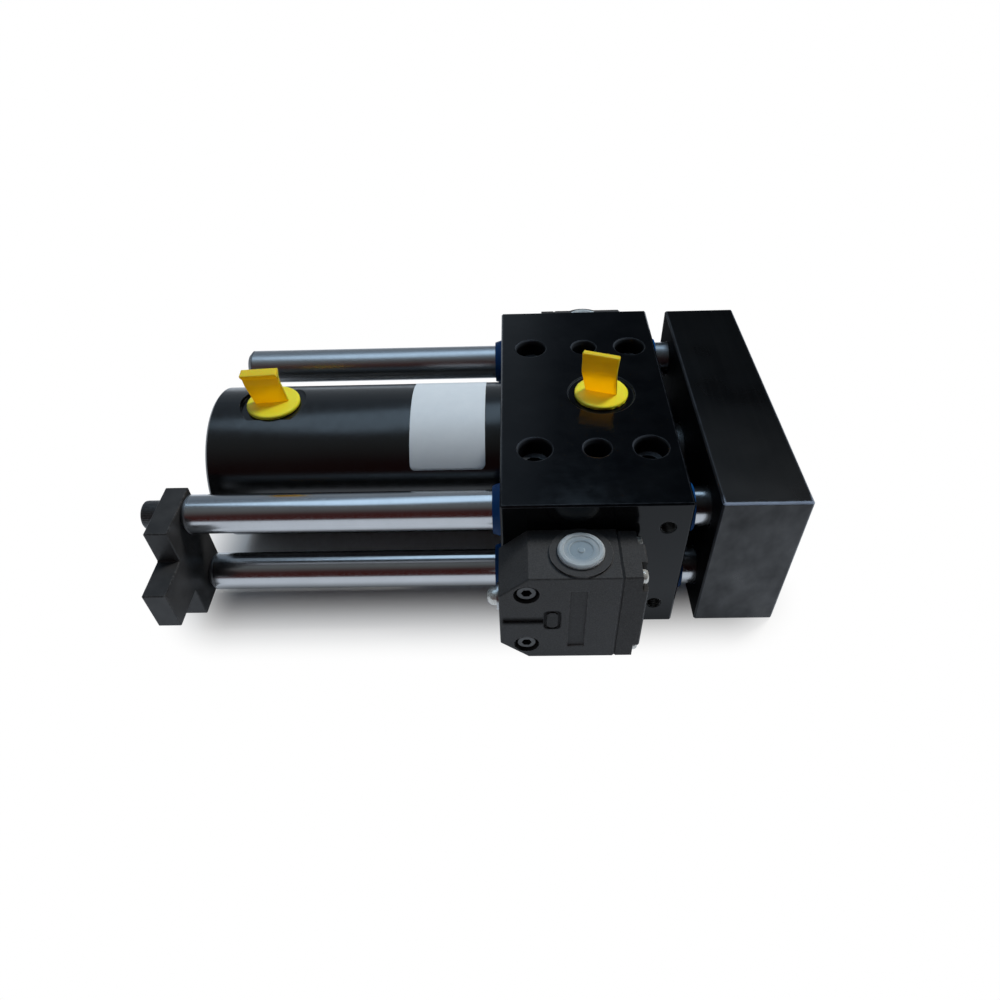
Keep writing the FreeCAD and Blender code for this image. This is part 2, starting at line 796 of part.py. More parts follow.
def trip_bracket():
    body = new_body("trip_bracket")
    sketch = new_sketch(body, "YZ_Plane", "bracket_rear")
    reach = "(rod_span_z / 2 + bracket_end_edge)"
    inner = "-rod_y + bracket_inner_edge"
    outer = "-rod_y - bracket_outer_edge"
    arm_end = "-rod_y - trip_arm_reach"
    points = [
        (inner, f"axis_z - {reach}"),
        (inner, f"axis_z + {reach}"),
        (outer, f"axis_z + {reach}"),
        (outer, "axis_z + trip_arm_height / 2"),
        (arm_end, "axis_z + trip_arm_height / 2"),
        (arm_end, "axis_z - trip_arm_height / 2"),
        (outer, "axis_z - trip_arm_height / 2"),
        (outer, f"axis_z - {reach}"),
    ]
    outline(sketch, points)
    bevel(body, pad(body, sketch, "bracket_thickness"), "bracket_bevel")
    hole = "bracket_screw + 2 * head_bore_gap"
    cut_circles(body, "YZ_Plane", "bracket_front", NEAR_RODS, hole, "bracket_thickness")
    length = "bracket_thickness + bracket_screw_grip"
    screws = []
    for count, (y, z) in enumerate(NEAR_RODS, start=1):
        # The head faces backwards, so the screw is turned half round
        at = ("bracket_rear", y, z)
        label = f"bracket_screw_{count}"
        screws.append(socket_screw(label, "bracket_screw", length, at, "XZ_Plane", HALF_TURN))
    group("bracket_screws", screws)


def position_switch(side, sign, turn):
    """One switch with its plunger towards the rear, or turned half round for the far side."""
    name = f"{side}_switch"

    def place(x, y, z):
        return (f"{sign} * ({x})", f"{sign} * ({y})", z)

    home = place("0", "0", "0")
    top_corner = "switch_top - switch_corner_z"
    base_corner = "switch_base + switch_corner_z"
    slope_end = "switch_back + switch_corner_x"
    cover_screws_at = [
        (f"switch_y {across} cover_screw_y", f"switch_z {up} cover_screw_z")
        for across in "+-"
        for up in "+-"
    ]
    held = [("switch_screw_place", f"switch_z {way} switch_screw_span / 2") for way in "+-"]

    # Housing: a cast block with two sloped corners, hollow from the cover's end
    housing = new_body(f"{name}_housing", home, turn)
    sketch = new_sketch(housing, "XZ_Plane", "-near_face")
    outline(
        sketch,
        [
            ("switch_back", base_corner),
            (slope_end, "switch_base"),
            ("switch_joint", "switch_base"),
            ("switch_joint", "switch_top"),
            (slope_end, "switch_top"),
            ("switch_back", top_corner),
        ],
    )
    blank = pad(housing, sketch, "switch_depth")
    joint_x = number("switch_joint")
    seat_y = number("near_face")
    free_edges = [
        f"Edge{count}"
        for count, edge in enumerate(blank.Shape.Edges, start=1)
        if abs(edge.CenterOfMass.x - joint_x) > SAME_PLACE
        and abs(edge.CenterOfMass.y - seat_y) > SAME_PLACE
    ]
    rounding = housing.newObject("PartDesign::Fillet", f"{name}_rounding")
    rounding.Base = (blank, free_edges)
    bind(rounding, "Radius", "switch_rounding")
    doc.recompute()
    boss = new_sketch(housing, "XY_Plane", "switch_top")
    circle(boss, "entry_place", "switch_y", "entry_boss")
    pad(housing, boss, "entry_boss_height")
    cavity = new_sketch(housing, "YZ_Plane", "switch_joint")
    rectangle(
        cavity,
        "switch_y - switch_cavity_width / 2",
        "switch_z - switch_cavity_height / 2",
        "switch_y + switch_cavity_width / 2",
        "switch_z + switch_cavity_height / 2",
    )
    pocket(housing, cavity, "switch_cavity_length")
    middle = [("switch_y", "switch_z")]
    cut_circles(housing, "YZ_Plane", "switch_joint", middle, "plunger_bush_outer", "switch_length")
    screw = "cover_screw + 2 * thread_gap"
    cut_circles(housing, "YZ_Plane", "switch_joint", cover_screws_at, screw, "cover_screw_grip + free_gap")
    entry = [("entry_place", "switch_y")]
    entry_depth = "entry_top - switch_z - switch_cavity_height / 2 + free_gap"
    cut_circles(housing, "XY_Plane", "entry_top", entry, "entry_bore", entry_depth)
    shank = "switch_screw + 2 * free_gap"
    head_depth = "(switch_screw_head_height + switch_head_sink)"
    cut_circles(housing, "XZ_Plane", "-switch_face", held, shank, "switch_depth")
    cut_circles(housing, "XZ_Plane", "-switch_face", held, "switch_head_bore", head_depth)

    # Reliefs in the outer face: a groove, a rounded frame and a bare panel
    face = new_sketch(housing, "XZ_Plane", "-switch_face")
    groove = "face_groove_width / 2"
    groove_side = "switch_back + face_groove_start"
    groove_end = f"{groove_side} + face_groove_length"
    rectangle(face, groove_side, f"switch_z - {groove}", groove_end, f"switch_z + {groove}")
    panel_side = "switch_back + face_panel_x"
    panel = "face_panel_height / 2"
    panel_end = f"{panel_side} + face_panel_width"
    rectangle(face, panel_side, f"switch_z - {panel}", panel_end, f"switch_z + {panel}")
    for half_width, half_height, corner in (
        ("face_button_width / 2", "face_button_height / 2", "face_button_corner"),
        (
            "(face_button_width / 2 - face_button_ring)",
            "(face_button_height / 2 - face_button_ring)",
            "(face_button_corner - face_button_ring / 2)",
        ),
    ):
        low_x = f"switch_back + face_button_x - {half_width}"
        high_x = f"switch_back + face_button_x + {half_width}"
        low_z = f"switch_z - {half_height}"
        high_z = f"switch_z + {half_height}"
        outline(
            face,
            [
                (low_x, f"{low_z} + {corner}"),
                (f"{low_x} + {corner}", low_z),
                (f"{high_x} - {corner}", low_z),
                (high_x, f"{low_z} + {corner}"),
                (high_x, f"{high_z} - {corner}"),
                (f"{high_x} - {corner}", high_z),
                (f"{low_x} + {corner}", high_z),
                (low_x, f"{high_z} - {corner}"),
            ],
        )
    pocket(housing, face, "face_relief_depth")

    # End cover with notched corners, its gasket and screws
    cover = new_body(f"{name}_cover", home, turn)
    sketch = new_sketch(cover, "YZ_Plane", "cover_back")
    inner_side = "near_face - cover_inset"
    rectangle(sketch, "switch_face", "switch_base", inner_side, "switch_top")
    bevel(cover, pad(cover, sketch, "cover_thickness"), "switch_rounding")
    notches = new_sketch(cover, "YZ_Plane", "cover_front")
    for low_y, high_y in (
        ("switch_face - free_gap", "switch_face + cover_notch"),
        ("near_face - cover_notch", "near_face + free_gap"),
    ):
        rectangle(notches, low_y, "switch_base - free_gap", high_y, "switch_base + cover_notch")
        rectangle(notches, low_y, "switch_top - cover_notch", high_y, "switch_top + free_gap")
    pocket(cover, notches, "cover_notch_depth")
    cut_circles(cover, "YZ_Plane", "notch_floor", cover_screws_at, screw, "cover_thickness")

    gasket = new_body(f"{name}_gasket", home, turn)
    sketch = new_sketch(gasket, "YZ_Plane", "switch_joint")
    rectangle(
        sketch,
        "switch_face + cover_inset",
        "switch_base + cover_inset",
        inner_side,
        "switch_top - cover_inset",
    )
    rectangle(
        sketch,
        "switch_y - switch_cavity_width / 2",
        "switch_z - switch_cavity_height / 2",
        "switch_y + switch_cavity_width / 2",
        "switch_z + switch_cavity_height / 2",
    )
    for y, z in cover_screws_at:
        circle(sketch, y, z, screw)
    pad(gasket, sketch, "gasket_thickness")

    screws = []
    for count, (y, z) in enumerate(cover_screws_at, start=1):
        length = "notch_floor - switch_joint + cover_screw_grip"
        points = [
            (f"-({length})", "0"),
            (f"-({length})", "cover_screw / 2"),
            ("0", "cover_screw / 2"),
            ("0", "cover_screw_head / 2"),
            ("cover_screw_head_rim", "cover_screw_head / 2", "cover_screw_dome", "left"),
            ("cover_screw_head_height", "cover_screw_crown / 2"),
            ("cover_screw_head_height", "0"),
        ]
        at = place("notch_floor", y, z)
        screws.append(turned(f"{name}_cover_screw_{count}", points, at, turn, kept=False))
    group(f"{name}_cover_screws", screws)

    screws = []
    for count, (x, z) in enumerate(held, start=1):
        length = f"switch_depth - {head_depth} + switch_screw_grip"
        at = place(x, f"switch_face + {head_depth}", z)
        label = f"{name}_mounting_screw_{count}"
        screws.append(socket_screw(label, "switch_screw", length, at, "YZ_Plane", turn + HALF_TURN))
    group(f"{name}_mounting_screws", screws)

    # Plunger in its bush, and the contact block that it works
    axis = place("0", "switch_y", "switch_z")
    plunger_points = [
        ("plunger_tip", "0"),
        ("plunger_tip", "plunger_radius - plunger_dome", "plunger_dome", "left"),
        ("plunger_tip + plunger_dome", "plunger_radius"),
        ("plunger_tail", "plunger_radius"),
        ("plunger_tail", "0"),
    ]
    turned(f"{name}_plunger", plunger_points, axis, turn)
    inner = "plunger_radius + running_gap"
    outer = "plunger_bush_outer / 2 - seat_gap"
    bush_points = [
        ("switch_back - plunger_bush_collar", inner),
        ("cavity_back", inner),
        ("cavity_back", outer),
        ("switch_back - plunger_bush_collar", outer),
    ]
    turned(f"{name}_plunger_bush", bush_points, axis, turn)

    contact = new_body(f"{name}_contact_block", home, turn)
    sketch = new_sketch(contact, "YZ_Plane", "cavity_back")
    rectangle(
        sketch,
        "switch_y - contact_width / 2",
        "switch_z - contact_height / 2",
        "switch_y + contact_width / 2",
        "switch_z + contact_height / 2",
    )
    bevel(contact, pad(contact, sketch, "contact_length"), "switch_rounding")

    # Blanking plug of the cable entry: a flange with raised rings and a small nub
    plug = new_body(f"{name}_entry_plug", place("entry_place", "switch_y", "entry_top"), turn)
    flange = "entry_plug_flange / 2"
    shank = "entry_bore / 2 - seat_gap"
    ring_floor = "entry_plug_height - entry_ring_step"
    dish_floor = f"{ring_floor} - entry_ring_step"
    plug_points = [
        ("0", "-entry_plug_shank"),
        (f"{shank} - hole_bevel", "-entry_plug_shank"),
        (shank, "-entry_plug_shank + hole_bevel"),
        (shank, "0"),
        (flange, "0"),
        (flange, "entry_plug_height - hole_bevel"),
        (f"{flange} - hole_bevel", "entry_plug_height"),
        ("entry_ring_outer / 2 + entry_ring_slope", "entry_plug_height"),
        ("entry_ring_outer / 2", ring_floor),
        ("entry_ring_inner / 2 + entry_ring_slope", ring_floor),
        ("entry_ring_inner / 2", dish_floor),
        ("entry_nub / 2 + entry_ring_slope", dish_floor),
        ("entry_nub / 2", ring_floor),
        ("0", ring_floor),
    ]
    revolve(plug, "XZ_Plane", "V_Axis", plug_points)


def port_plug(label, at, turn):
    """A push-in plug: a tapered shank, a round flange and a flat tab to pull it by."""
    body = new_body(label, at, turn)
    flange = "plug_flange / 2"
    points = [
        ("0", "-plug_shank_length"),
        ("plug_shank_end / 2", "-plug_shank_length"),
        ("plug_shank / 2", "0"),
        (flange, "0"),
        (flange, "plug_flange_height - hole_bevel"),
        (f"{flange} - hole_bevel", "plug_flange_height"),
        ("0", "plug_flange_height"),
    ]
    revolve(body, "XZ_Plane", "V_Axis", points)

    # Tab with a bowed wall and a thicker rim, wider at the top than at its foot
    half = "plug_tab_thickness / 2"
    rim = "plug_rim_thickness / 2"
    foot = "plug_flange_height / 2"
    neck = "plug_tab_height - plug_rim_height"
    rise = f"({neck} - {foot})"
    bow = f"({rise} * {rise} / (8 * plug_tab_bow) + plug_tab_bow / 2)"
    wall = new_sketch(body, "YZ_Plane", "-plug_tab_width / 2")
    outline(
        wall,
        [
            (f"-{half}", foot, bow, "right"),
            (f"-{half}", neck),
            (f"-{rim}", neck),
            (f"-{rim}", "plug_tab_height"),
            (rim, "plug_tab_height"),
            (rim, neck),
            (half, neck, bow, "left"),
            (half, foot),
        ],
    )
    pad(body, wall, "plug_tab_width")
    slopes = new_sketch(body, "XZ_Plane", "plug_tab_width / 2")
    for way in ("", "-"):
        outline(
            slopes,
            [
                (f"{way}plug_tab_foot / 2", "plug_flange_height"),
                (f"{way}plug_tab_width / 2", "plug_tab_height"),
                (f"{way}plug_tab_width", "plug_tab_height"),
                (f"{way}plug_tab_width", "plug_flange_height"),
            ],
        )
    pocket(body, slopes, "plug_tab_width")


guide_block()
cylinder_barrel()
cylinder_cap()
rod_gland()
guide_rods()
front_plate()
piston_and_rod()
trip_bracket()
position_switch("near", 1, 0)
position_switch("far", -1, HALF_TURN)
port_plug("port_plug_front", ("port_x", "0", "block_height - port_face_depth"), FRONT_TAB_TURN)
port_plug("port_plug_rear", ("rear_port_x", "0", "axis_z + rear_port_height"), REAR_TAB_TURN)

doc.recompute()
for item in doc.Objects:
    if "Invalid" in item.State or "Error" in item.State:
        raise ValueError(f"{item.Label} failed: {item.State}")
for item in sub_parts:
    if item.Shape.isNull() or not item.Shape.isValid():
        raise ValueError(f"{item.Label} has no valid shape")

os.makedirs("parts", exist_ok=True)
for item in sub_parts:
    item.Shape.exportStep(f"parts/{item.Label}.step")
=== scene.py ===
import math

import bmesh
import bpy
from mathutils import Matrix, Vector


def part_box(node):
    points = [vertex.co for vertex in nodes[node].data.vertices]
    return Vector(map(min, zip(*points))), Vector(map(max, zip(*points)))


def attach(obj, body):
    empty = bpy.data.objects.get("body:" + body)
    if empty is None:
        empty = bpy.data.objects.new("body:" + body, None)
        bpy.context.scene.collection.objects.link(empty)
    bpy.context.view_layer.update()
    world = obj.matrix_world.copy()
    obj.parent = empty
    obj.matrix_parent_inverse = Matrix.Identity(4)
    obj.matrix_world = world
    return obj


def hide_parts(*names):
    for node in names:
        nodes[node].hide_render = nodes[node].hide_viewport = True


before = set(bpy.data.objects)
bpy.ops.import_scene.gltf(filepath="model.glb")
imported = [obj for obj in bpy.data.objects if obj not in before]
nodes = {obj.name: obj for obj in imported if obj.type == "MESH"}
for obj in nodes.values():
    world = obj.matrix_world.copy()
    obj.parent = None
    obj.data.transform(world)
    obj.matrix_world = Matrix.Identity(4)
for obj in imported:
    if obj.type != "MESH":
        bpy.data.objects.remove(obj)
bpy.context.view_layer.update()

scene = bpy.context.scene

MM = 0.001
AXIS_HEIGHT = 40 * MM
BARREL_RADIUS = 39 * MM
SWITCH_LEVEL = AXIS_HEIGHT - 1.9 * MM
SIDES = {"near": -1, "far": 1}  # each side's way along Y

# Sizes in mm, in the plug's own frame: half widths at the foot and the top of the tab, its top,
# its slopes below and above the kink, its shift and lean along X, and its rim's thickness.
PLUGS = {
    "front": {
        "seat": (8.5, 0, 79),
        "turn": -19.5,
        "tab": dict(
            halves=(7.8, 8.95), top=22.0, fore=0.26, back=0.68, shift=0.0, lean=-1.5, rim=2.9
        ),
    },
    "rear": {
        "seat": (-153.2, 0, 77),
        "turn": 4,
        "tab": dict(
            halves=(8.25, 8.8), top=19.6, fore=0.14, back=0.22, shift=-0.4, lean=-2.4, rim=6.0
        ),
    },
}
# One yellow plastic in three copies: the tab's and the rim's tones are more orange than the
# flange's, painted colour for the light that shines through the thin tab.
FLANGE_TONES = (0.75, 0.69, 0.03), (0.8, 0.75, 0.04)
TAB_TONES = (0.88, 0.64, 0.012), (0.92, 0.7, 0.02)
RIM_TONES = (0.76, 0.62, 0.025), (0.82, 0.68, 0.035)
TAB_SLOT, RIM_SLOT = 1, 2

SIDE_THREAD = dict(radius=3.4 * MM, depth=6 * MM, pitch=1.25 * MM)
TOOL_THREAD = dict(radius=4.25 * MM, depth=14 * MM, pitch=1.5 * MM)
TAIL_THREAD = dict(radius=4.05 * MM, depth=12 * MM, pitch=1.25 * MM)

SHARP_ANGLE = math.radians(50)
EDGE_SAMPLES = 6
WEAR_TURN = (0.996, 0.95)  # cosines of the turn where wear starts and where it is full
NOISE_RANGE = (0.3, 0.7)  # where most of a noise's values lie
COLOR_A, COLOR_B, COLOR_OUT = 6, 7, 2  # a Mix node's sockets for colours


class Finish:
    """A procedural material whose textures lie in the part's own frame, in metres."""

    def __init__(self, name, **sockets):
        self.material = bpy.data.materials.new(name)
        self.material.use_nodes = True
        self.tree = self.material.node_tree
        self.shader = self.tree.nodes["Principled BSDF"]
        for socket, value in sockets.items():
            self.shader.inputs[socket.replace("_", " ")].default_value = value
        self.place = self.node("ShaderNodeTexCoord").outputs["Object"]
        self.normal = None

    def feed(self, socket, value):
        if isinstance(value, bpy.types.NodeSocket):
            self.tree.links.new(value, socket)
        elif value is not None:
            socket.default_value = value

    def node(self, kind, inputs=None, **settings):
        made = self.tree.nodes.new(kind)
        for setting, value in settings.items():
            setattr(made, setting, value)
        for socket, value in (inputs or {}).items():
            self.feed(made.inputs[socket], value)
        return made

    def math(self, operation, first, second=None):
        inputs = {0: first, 1: second}
        return self.node("ShaderNodeMath", inputs, operation=operation).outputs["Value"]

    def vector(self, operation, first, second=None):
        inputs = {0: first, 1: second}
        return self.node("ShaderNodeVectorMath", inputs, operation=operation).outputs

    def product(self, first, *others):
        for other in others:
            first = self.math("MULTIPLY", first, other)
        return first

    def greatest(self, first, *others):
        for other in others:
            first = self.math("MAXIMUM", first, other)
        return first

    def off(self, value, middle=0.0):
        """How far the value is from this middle."""
        return self.math("ABSOLUTE", self.math("SUBTRACT", value, middle))

    def outside(self, first, second):
        """How far a point is outside a box, from how far it is past two of its sides."""
        inputs = {0: self.greatest(first, 0.0), 1: self.greatest(second, 0.0)}
        corner = self.node("ShaderNodeCombineXYZ", inputs).outputs["Vector"]
        return self.vector("LENGTH", corner)["Value"]

    def spread(self, value, start, end, low=0.0, high=1.0):
        """The value's span from start to end, laid out from low to high."""
        inputs = {"Value": value, "From Min": start, "From Max": end}
        inputs.update({"To Min": low, "To Max": high})
        return self.node("ShaderNodeMapRange", inputs).outputs["Result"]

    def scaled(self, share, low, high):
        """low where the share is 0 and high where it is 1."""
        return self.spread(share, 0.0, 1.0, low, high)

    def window(self, value, opening, closing):
        """1 between two soft ends, each of which says where it is 0 and where it is 1."""
        return self.product(self.spread(value, *opening), self.spread(value, *closing))

    def noise(self, size, detail, stretch=(1, 1, 1)):
        """Cloudy noise with features of this size, drawn out along the axes by stretch."""
        scale = [1 / (size * way) for way in stretch]
        place = self.node("ShaderNodeMapping", {"Vector": self.place, "Scale": scale})
        inputs = {"Vector": place.outputs["Vector"], "Scale": 1.0, "Detail": detail}
        return self.node("ShaderNodeTexNoise", inputs).outputs["Fac"]

    def uneven(self, size, detail, low, high):
        """Cloudy noise laid out from low to high."""
        return self.spread(self.noise(size, detail), *NOISE_RANGE, low, high)

    def mix(self, share, first, second):
        made = self.node("ShaderNodeMix", data_type="RGBA")
        sockets = [made.inputs["Factor"], made.inputs[COLOR_A], made.inputs[COLOR_B]]
        for socket, value in zip(sockets, (share, first, second)):
            self.feed(socket, (*value, 1) if isinstance(value, tuple) else value)
        return made.outputs[COLOR_OUT]

    def axes(self, vector):
        """A vector's X, Y and Z."""
        return self.node("ShaderNodeSeparateXYZ", {0: vector}).outputs

    def facet(self):
        """X, Y and Z of the way that the surface looks, without its bumps."""
        return self.axes(self.node("ShaderNodeNewGeometry").outputs["Normal"])

    def soft_normal(self, width):
        """The surface's normal with its edges rounded off over this width."""
        made = self.node("ShaderNodeBevel", {"Radius": width}, samples=EDGE_SAMPLES)
        return made.outputs["Normal"]

    def worn_edges(self, width):
        """1 where the surface turns within this width, and 0 on the flat."""
        flat = self.node("ShaderNodeNewGeometry").outputs["Normal"]
        turn = self.vector("DOT_PRODUCT", self.soft_normal(width), flat)["Value"]
        return self.spread(turn, *WEAR_TURN)

    def round_edges(self, width):
        self.normal = self.soft_normal(width)

    def bump(self, height, depth):
        inputs = {"Height": height, "Distance": depth, "Normal": self.normal}
        self.normal = self.node("ShaderNodeBump", inputs).outputs["Normal"]

    def shine(self, level):
        """A specular level that changes over the surface."""
        self.feed(self.shader.inputs["Specular IOR Level"], level)

    def lay(self, color, roughness):
        self.feed(self.shader.inputs["Base Color"], color)
        self.feed(self.shader.inputs["Roughness"], roughness)
        self.feed(self.shader.inputs["Normal"], self.normal)
        return self.material

    def layer(self, share, first, second):
        """A mix of two shaders."""
        inputs = {0: share, 1: first, 2: second}
        return self.node("ShaderNodeMixShader", inputs).outputs["Shader"]

    def show(self, shader):
        self.feed(self.tree.nodes["Material Output"].inputs["Surface"], shader)
        return self.material


def blackened_steel():
    """Ground steel with a thin glossy black oxide, duller in the holes in its top, whose floors
    are paler and whose rims carry a painted highlight on the side that faces +X and -Y."""
    oxide_tones = (0.0012, 0.0017, 0.0025), (0.0028, 0.0035, 0.0046)
    rim_highlight_tones = (0.004, 0.005, 0.0066), (0.047, 0.056, 0.07)
    floor_tones = (0.05, 0.055, 0.065), (0.13, 0.145, 0.165)
    steel = (0.034, 0.04, 0.05)
    in_length, in_width = (39.5 * MM, 39 * MM), (74 * MM, 73 * MM)
    rim_height, floor_height = (77 * MM, 78 * MM), (71.6 * MM, 71.3 * MM)
    top_shine, near_shine, wall_factor = 0.28, 0.22, 0.35
    rim_rough, wall_rough = 0.4, 0.5

    f = Finish("blackened_steel")
    place, facet = f.axes(f.place), f.facet()
    f.round_edges(0.5 * MM)
    f.bump(f.noise(0.5 * MM, 2, (12, 1, 12)), 0.003 * MM)
    oxide = f.mix(f.spread(f.noise(14 * MM, 5), 0.35, 0.7), *oxide_tones)
    rubbed = f.product(f.worn_edges(0.7 * MM), f.uneven(3 * MM, 4, 0.1, 1.0))
    color = f.mix(rubbed, oxide, steel)

    # inside the outer edges of the top
    inner = f.product(
        f.spread(f.off(place["X"]), *in_length),
        f.spread(f.off(place["Y"]), *in_width),
    )
    slope = f.window(facet["Z"], (0.97, 0.9), (0.3, 0.5))
    rim = f.product(inner, slope, f.spread(place["Z"], *rim_height))
    # painted highlight: each rim is paler on the side that faces +X and -Y
    lit = f.spread(f.math("SUBTRACT", facet["X"], facet["Y"]), 0.35, 1.0)
    color = f.mix(rim, color, f.mix(lit, *rim_highlight_tones))
    floor = f.product(f.spread(place["Z"], *floor_height), f.spread(facet["Z"], 0.8, 0.98))
    color = f.mix(floor, color, f.mix(f.noise(1.5 * MM, 4), *floor_tones))

    wall = f.product(inner, f.window(facet["Z"], (0.5, 0.3), (-0.5, -0.3)))
    near = f.spread(facet["Y"], -0.5, -0.9)
    f.shine(f.product(f.scaled(near, top_shine, near_shine), f.scaled(wall, 1.0, wall_factor)))
    dull = f.greatest(f.product(rim, rim_rough), f.product(wall, wall_rough))
    return f.lay(color, f.greatest(f.uneven(5 * MM, 4, 0.08, 0.15), dull))


def mottled_steel():
    """The same oxide on the thick plate, blotchy on its sides, paler towards the near edge of its
    top, near black on its rear face as painted shade in the gap, and rubbed bright on its near
    edges, with a painted highlight along its near top edge."""
    side_tones = (0.005, 0.005, 0.0058), (0.023, 0.023, 0.026)
    ground_tones = (0.001, 0.001, 0.0011), (0.003, 0.003, 0.0032)
    pale_tone = (0.019, 0.0193, 0.02)
    gap_shade_tone = (0.0015, 0.0015, 0.0016)
    # bluish steel of the rubbed near edge, bright as a painted highlight
    steel = (0.34, 0.42, 0.56)
    calm = (0.48, 0.48, 0.48)
    paling_span, edge_span = (-5 * MM, -85 * MM), (-72 * MM, -76 * MM)
    top_factor, rear_factor, rear_rough = 0.72, 0.1, 0.7

    f = Finish("mottled_steel")
    facet, across = f.facet(), f.axes(f.place)["Y"]
    top = f.spread(facet["Z"], 0.5, 0.9)
    front = f.spread(facet["X"], 0.5, 0.9)
    rear = f.spread(facet["X"], -0.5, -0.9)
    f.round_edges(1.0 * MM)
    f.bump(f.noise(0.4 * MM, 3, (1, 14, 1)), 0.004 * MM)

    blotches = f.mix(top, f.noise(13 * MM, 3, (1, 1, 1.5)), f.noise(30 * MM, 1))
    blotches = f.mix(f.scaled(front, 0.0, 0.6), blotches, calm)
    sides = f.mix(f.spread(blotches, 0.34, 0.68), *side_tones)
    lines = f.spread(f.noise(0.9 * MM, 2, (1, 90, 1)), 0.35, 0.75)
    # the top turns paler towards its near edge
    near_paling = f.spread(f.noise(20 * MM, 4), 0.1, 0.85, 0.33, 1.17)
    near_paling = f.product(f.spread(across, *paling_span), near_paling)
    upper = f.mix(near_paling, f.mix(lines, *ground_tones), pale_tone)
    # painted shade: the rear face, which looks into the gap towards the block, is near black
    oxide = f.mix(rear, f.mix(top, sides, upper), gap_shade_tone)

    # bright bluish steel along the near top edge: partly rubbed wear, partly a painted highlight
    rubbed = f.product(
        f.worn_edges(1.1 * MM),
        f.spread(f.noise(5 * MM, 4), 0.25, 0.6, 0.5, 1.0),
        f.spread(across, *edge_span, 0.1, 1.0),
        f.scaled(top, 0.1, 1.0),
    )
    # painted highlight on the chamfer that faces up and forward
    painted_ridge_highlight = f.product(
        f.window(facet["Z"], (0.98, 0.9), (0.2, 0.4)),
        f.spread(facet["Y"], -0.1, -0.3),
        f.spread(f.noise(9 * MM, 4), 0.2, 0.6, 0.6, 1.0),
    )
    gloss = f.spread(blotches, 0.1, 0.9, 0.09, 0.69)
    f.shine(f.product(gloss, f.scaled(top, 1.0, top_factor), f.scaled(rear, 1.0, rear_factor)))
    rough = f.spread(blotches, 0.1, 0.9, 0.506, 0.154)
    rough = f.greatest(rough, f.scaled(rear, 0.0, rear_rough))
    return f.lay(f.mix(f.greatest(rubbed, painted_ridge_highlight), oxide, steel), rough)


def satin_steel():
    """Finely milled, dull black bracket."""
    tones = (0.024, 0.0245, 0.026), (0.038, 0.0385, 0.04)
    f = Finish("satin_steel", Specular_IOR_Level=0.24)
    f.round_edges(0.3 * MM)
    f.bump(f.noise(0.35 * MM, 3, (1, 10, 1)), 0.006 * MM)
    tone = f.mix(f.spread(f.noise(8 * MM, 5), 0.35, 0.65), *tones)
    rubbed = f.product(f.worn_edges(0.6 * MM), f.spread(f.noise(2 * MM, 4), 0.45, 0.65))
    return f.lay(f.mix(rubbed, tone, (0.1, 0.1, 0.1)), f.uneven(4 * MM, 5, 0.34, 0.5))


def barrel_paint():
    """Smooth black coat over a turned tube."""
    tones = (0.0016, 0.0017, 0.0019), (0.0034, 0.0035, 0.0038)
    f = Finish("barrel_black", Specular_IOR_Level=0.66)
    f.round_edges(0.3 * MM)
    f.bump(f.noise(0.45 * MM, 2, (1, 30, 30)), 0.004 * MM)
    tone = f.mix(f.uneven(20 * MM, 5, 0.0, 1.0), *tones)
    rubbed = f.product(f.worn_edges(0.8 * MM), f.spread(f.noise(3 * MM, 4), 0.45, 0.7))
    return f.lay(f.mix(rubbed, tone, (0.04, 0.04, 0.04)), f.uneven(6 * MM, 6, 0.19, 0.27))


def hard_chrome(name, low, high):
    """Ground and chromed shaft with fine rings left by the wheel, matt where its rear end is
    turned. Its roughness runs from low to high."""
    tones = (0.43, 0.435, 0.445), (0.5, 0.505, 0.515)
    turned_span, turned_tone, turned_rough = (-180.6 * MM, -181 * MM), (0.26, 0.26, 0.265), 0.55
    f = Finish(name, Metallic=1.0)
    rings = f.noise(0.3 * MM, 3, (1, 60, 60))
    f.bump(rings, 0.0012 * MM)
    turned = f.spread(f.axes(f.place)["X"], *turned_span)
    color = f.mix(turned, f.mix(f.noise(12 * MM, 4), *tones), turned_tone)
    rough = f.spread(rings, *NOISE_RANGE, low, high)
    return f.lay(color, f.greatest(rough, f.product(turned, turned_rough)))


def black_screws():
    """Black alloy-steel screws, rubbed here and there on their edges."""
    tones = (0.006, 0.006, 0.007), (0.014, 0.014, 0.015)
    f = Finish("black_screws", Specular_IOR_Level=0.6)
    f.round_edges(0.25 * MM)
    f.bump(f.noise(0.3 * MM, 2), 0.01 * MM)
    tone = f.mix(f.noise(2 * MM, 4), *tones)
    rubbed = f.product(f.worn_edges(0.5 * MM), f.spread(f.noise(1 * MM, 3), 0.4, 0.65))
    return f.lay(f.mix(rubbed, tone, (0.07, 0.07, 0.07)), f.uneven(1.5 * MM, 4, 0.28, 0.46))


def turned_steel():
    """Steel with the fine rings of a lathe."""
    tones = (0.36, 0.36, 0.37), (0.5, 0.5, 0.5)
    f = Finish("turned_steel", Metallic=1.0)
    rings = f.noise(0.3 * MM, 2, (1, 40, 40))
    f.bump(rings, 0.004 * MM)
    return f.lay(f.mix(f.noise(6 * MM, 4), *tones), f.spread(rings, *NOISE_RANGE, 0.24, 0.4))


def plain_finish(name, skin, clouds, tones, rough, edge=None, **sockets):
    """One substance all over. skin is the size and the depth of its bumps, clouds the size and
    the detail of its change of tone, and rough the size, the detail and the range of its
    roughness."""
    f = Finish(name, **sockets)
    if edge:
        f.round_edges(edge)
    size, depth = skin
    f.bump(f.noise(size, 3), depth)
    return f.lay(f.mix(f.noise(*clouds), *tones), f.uneven(*rough))


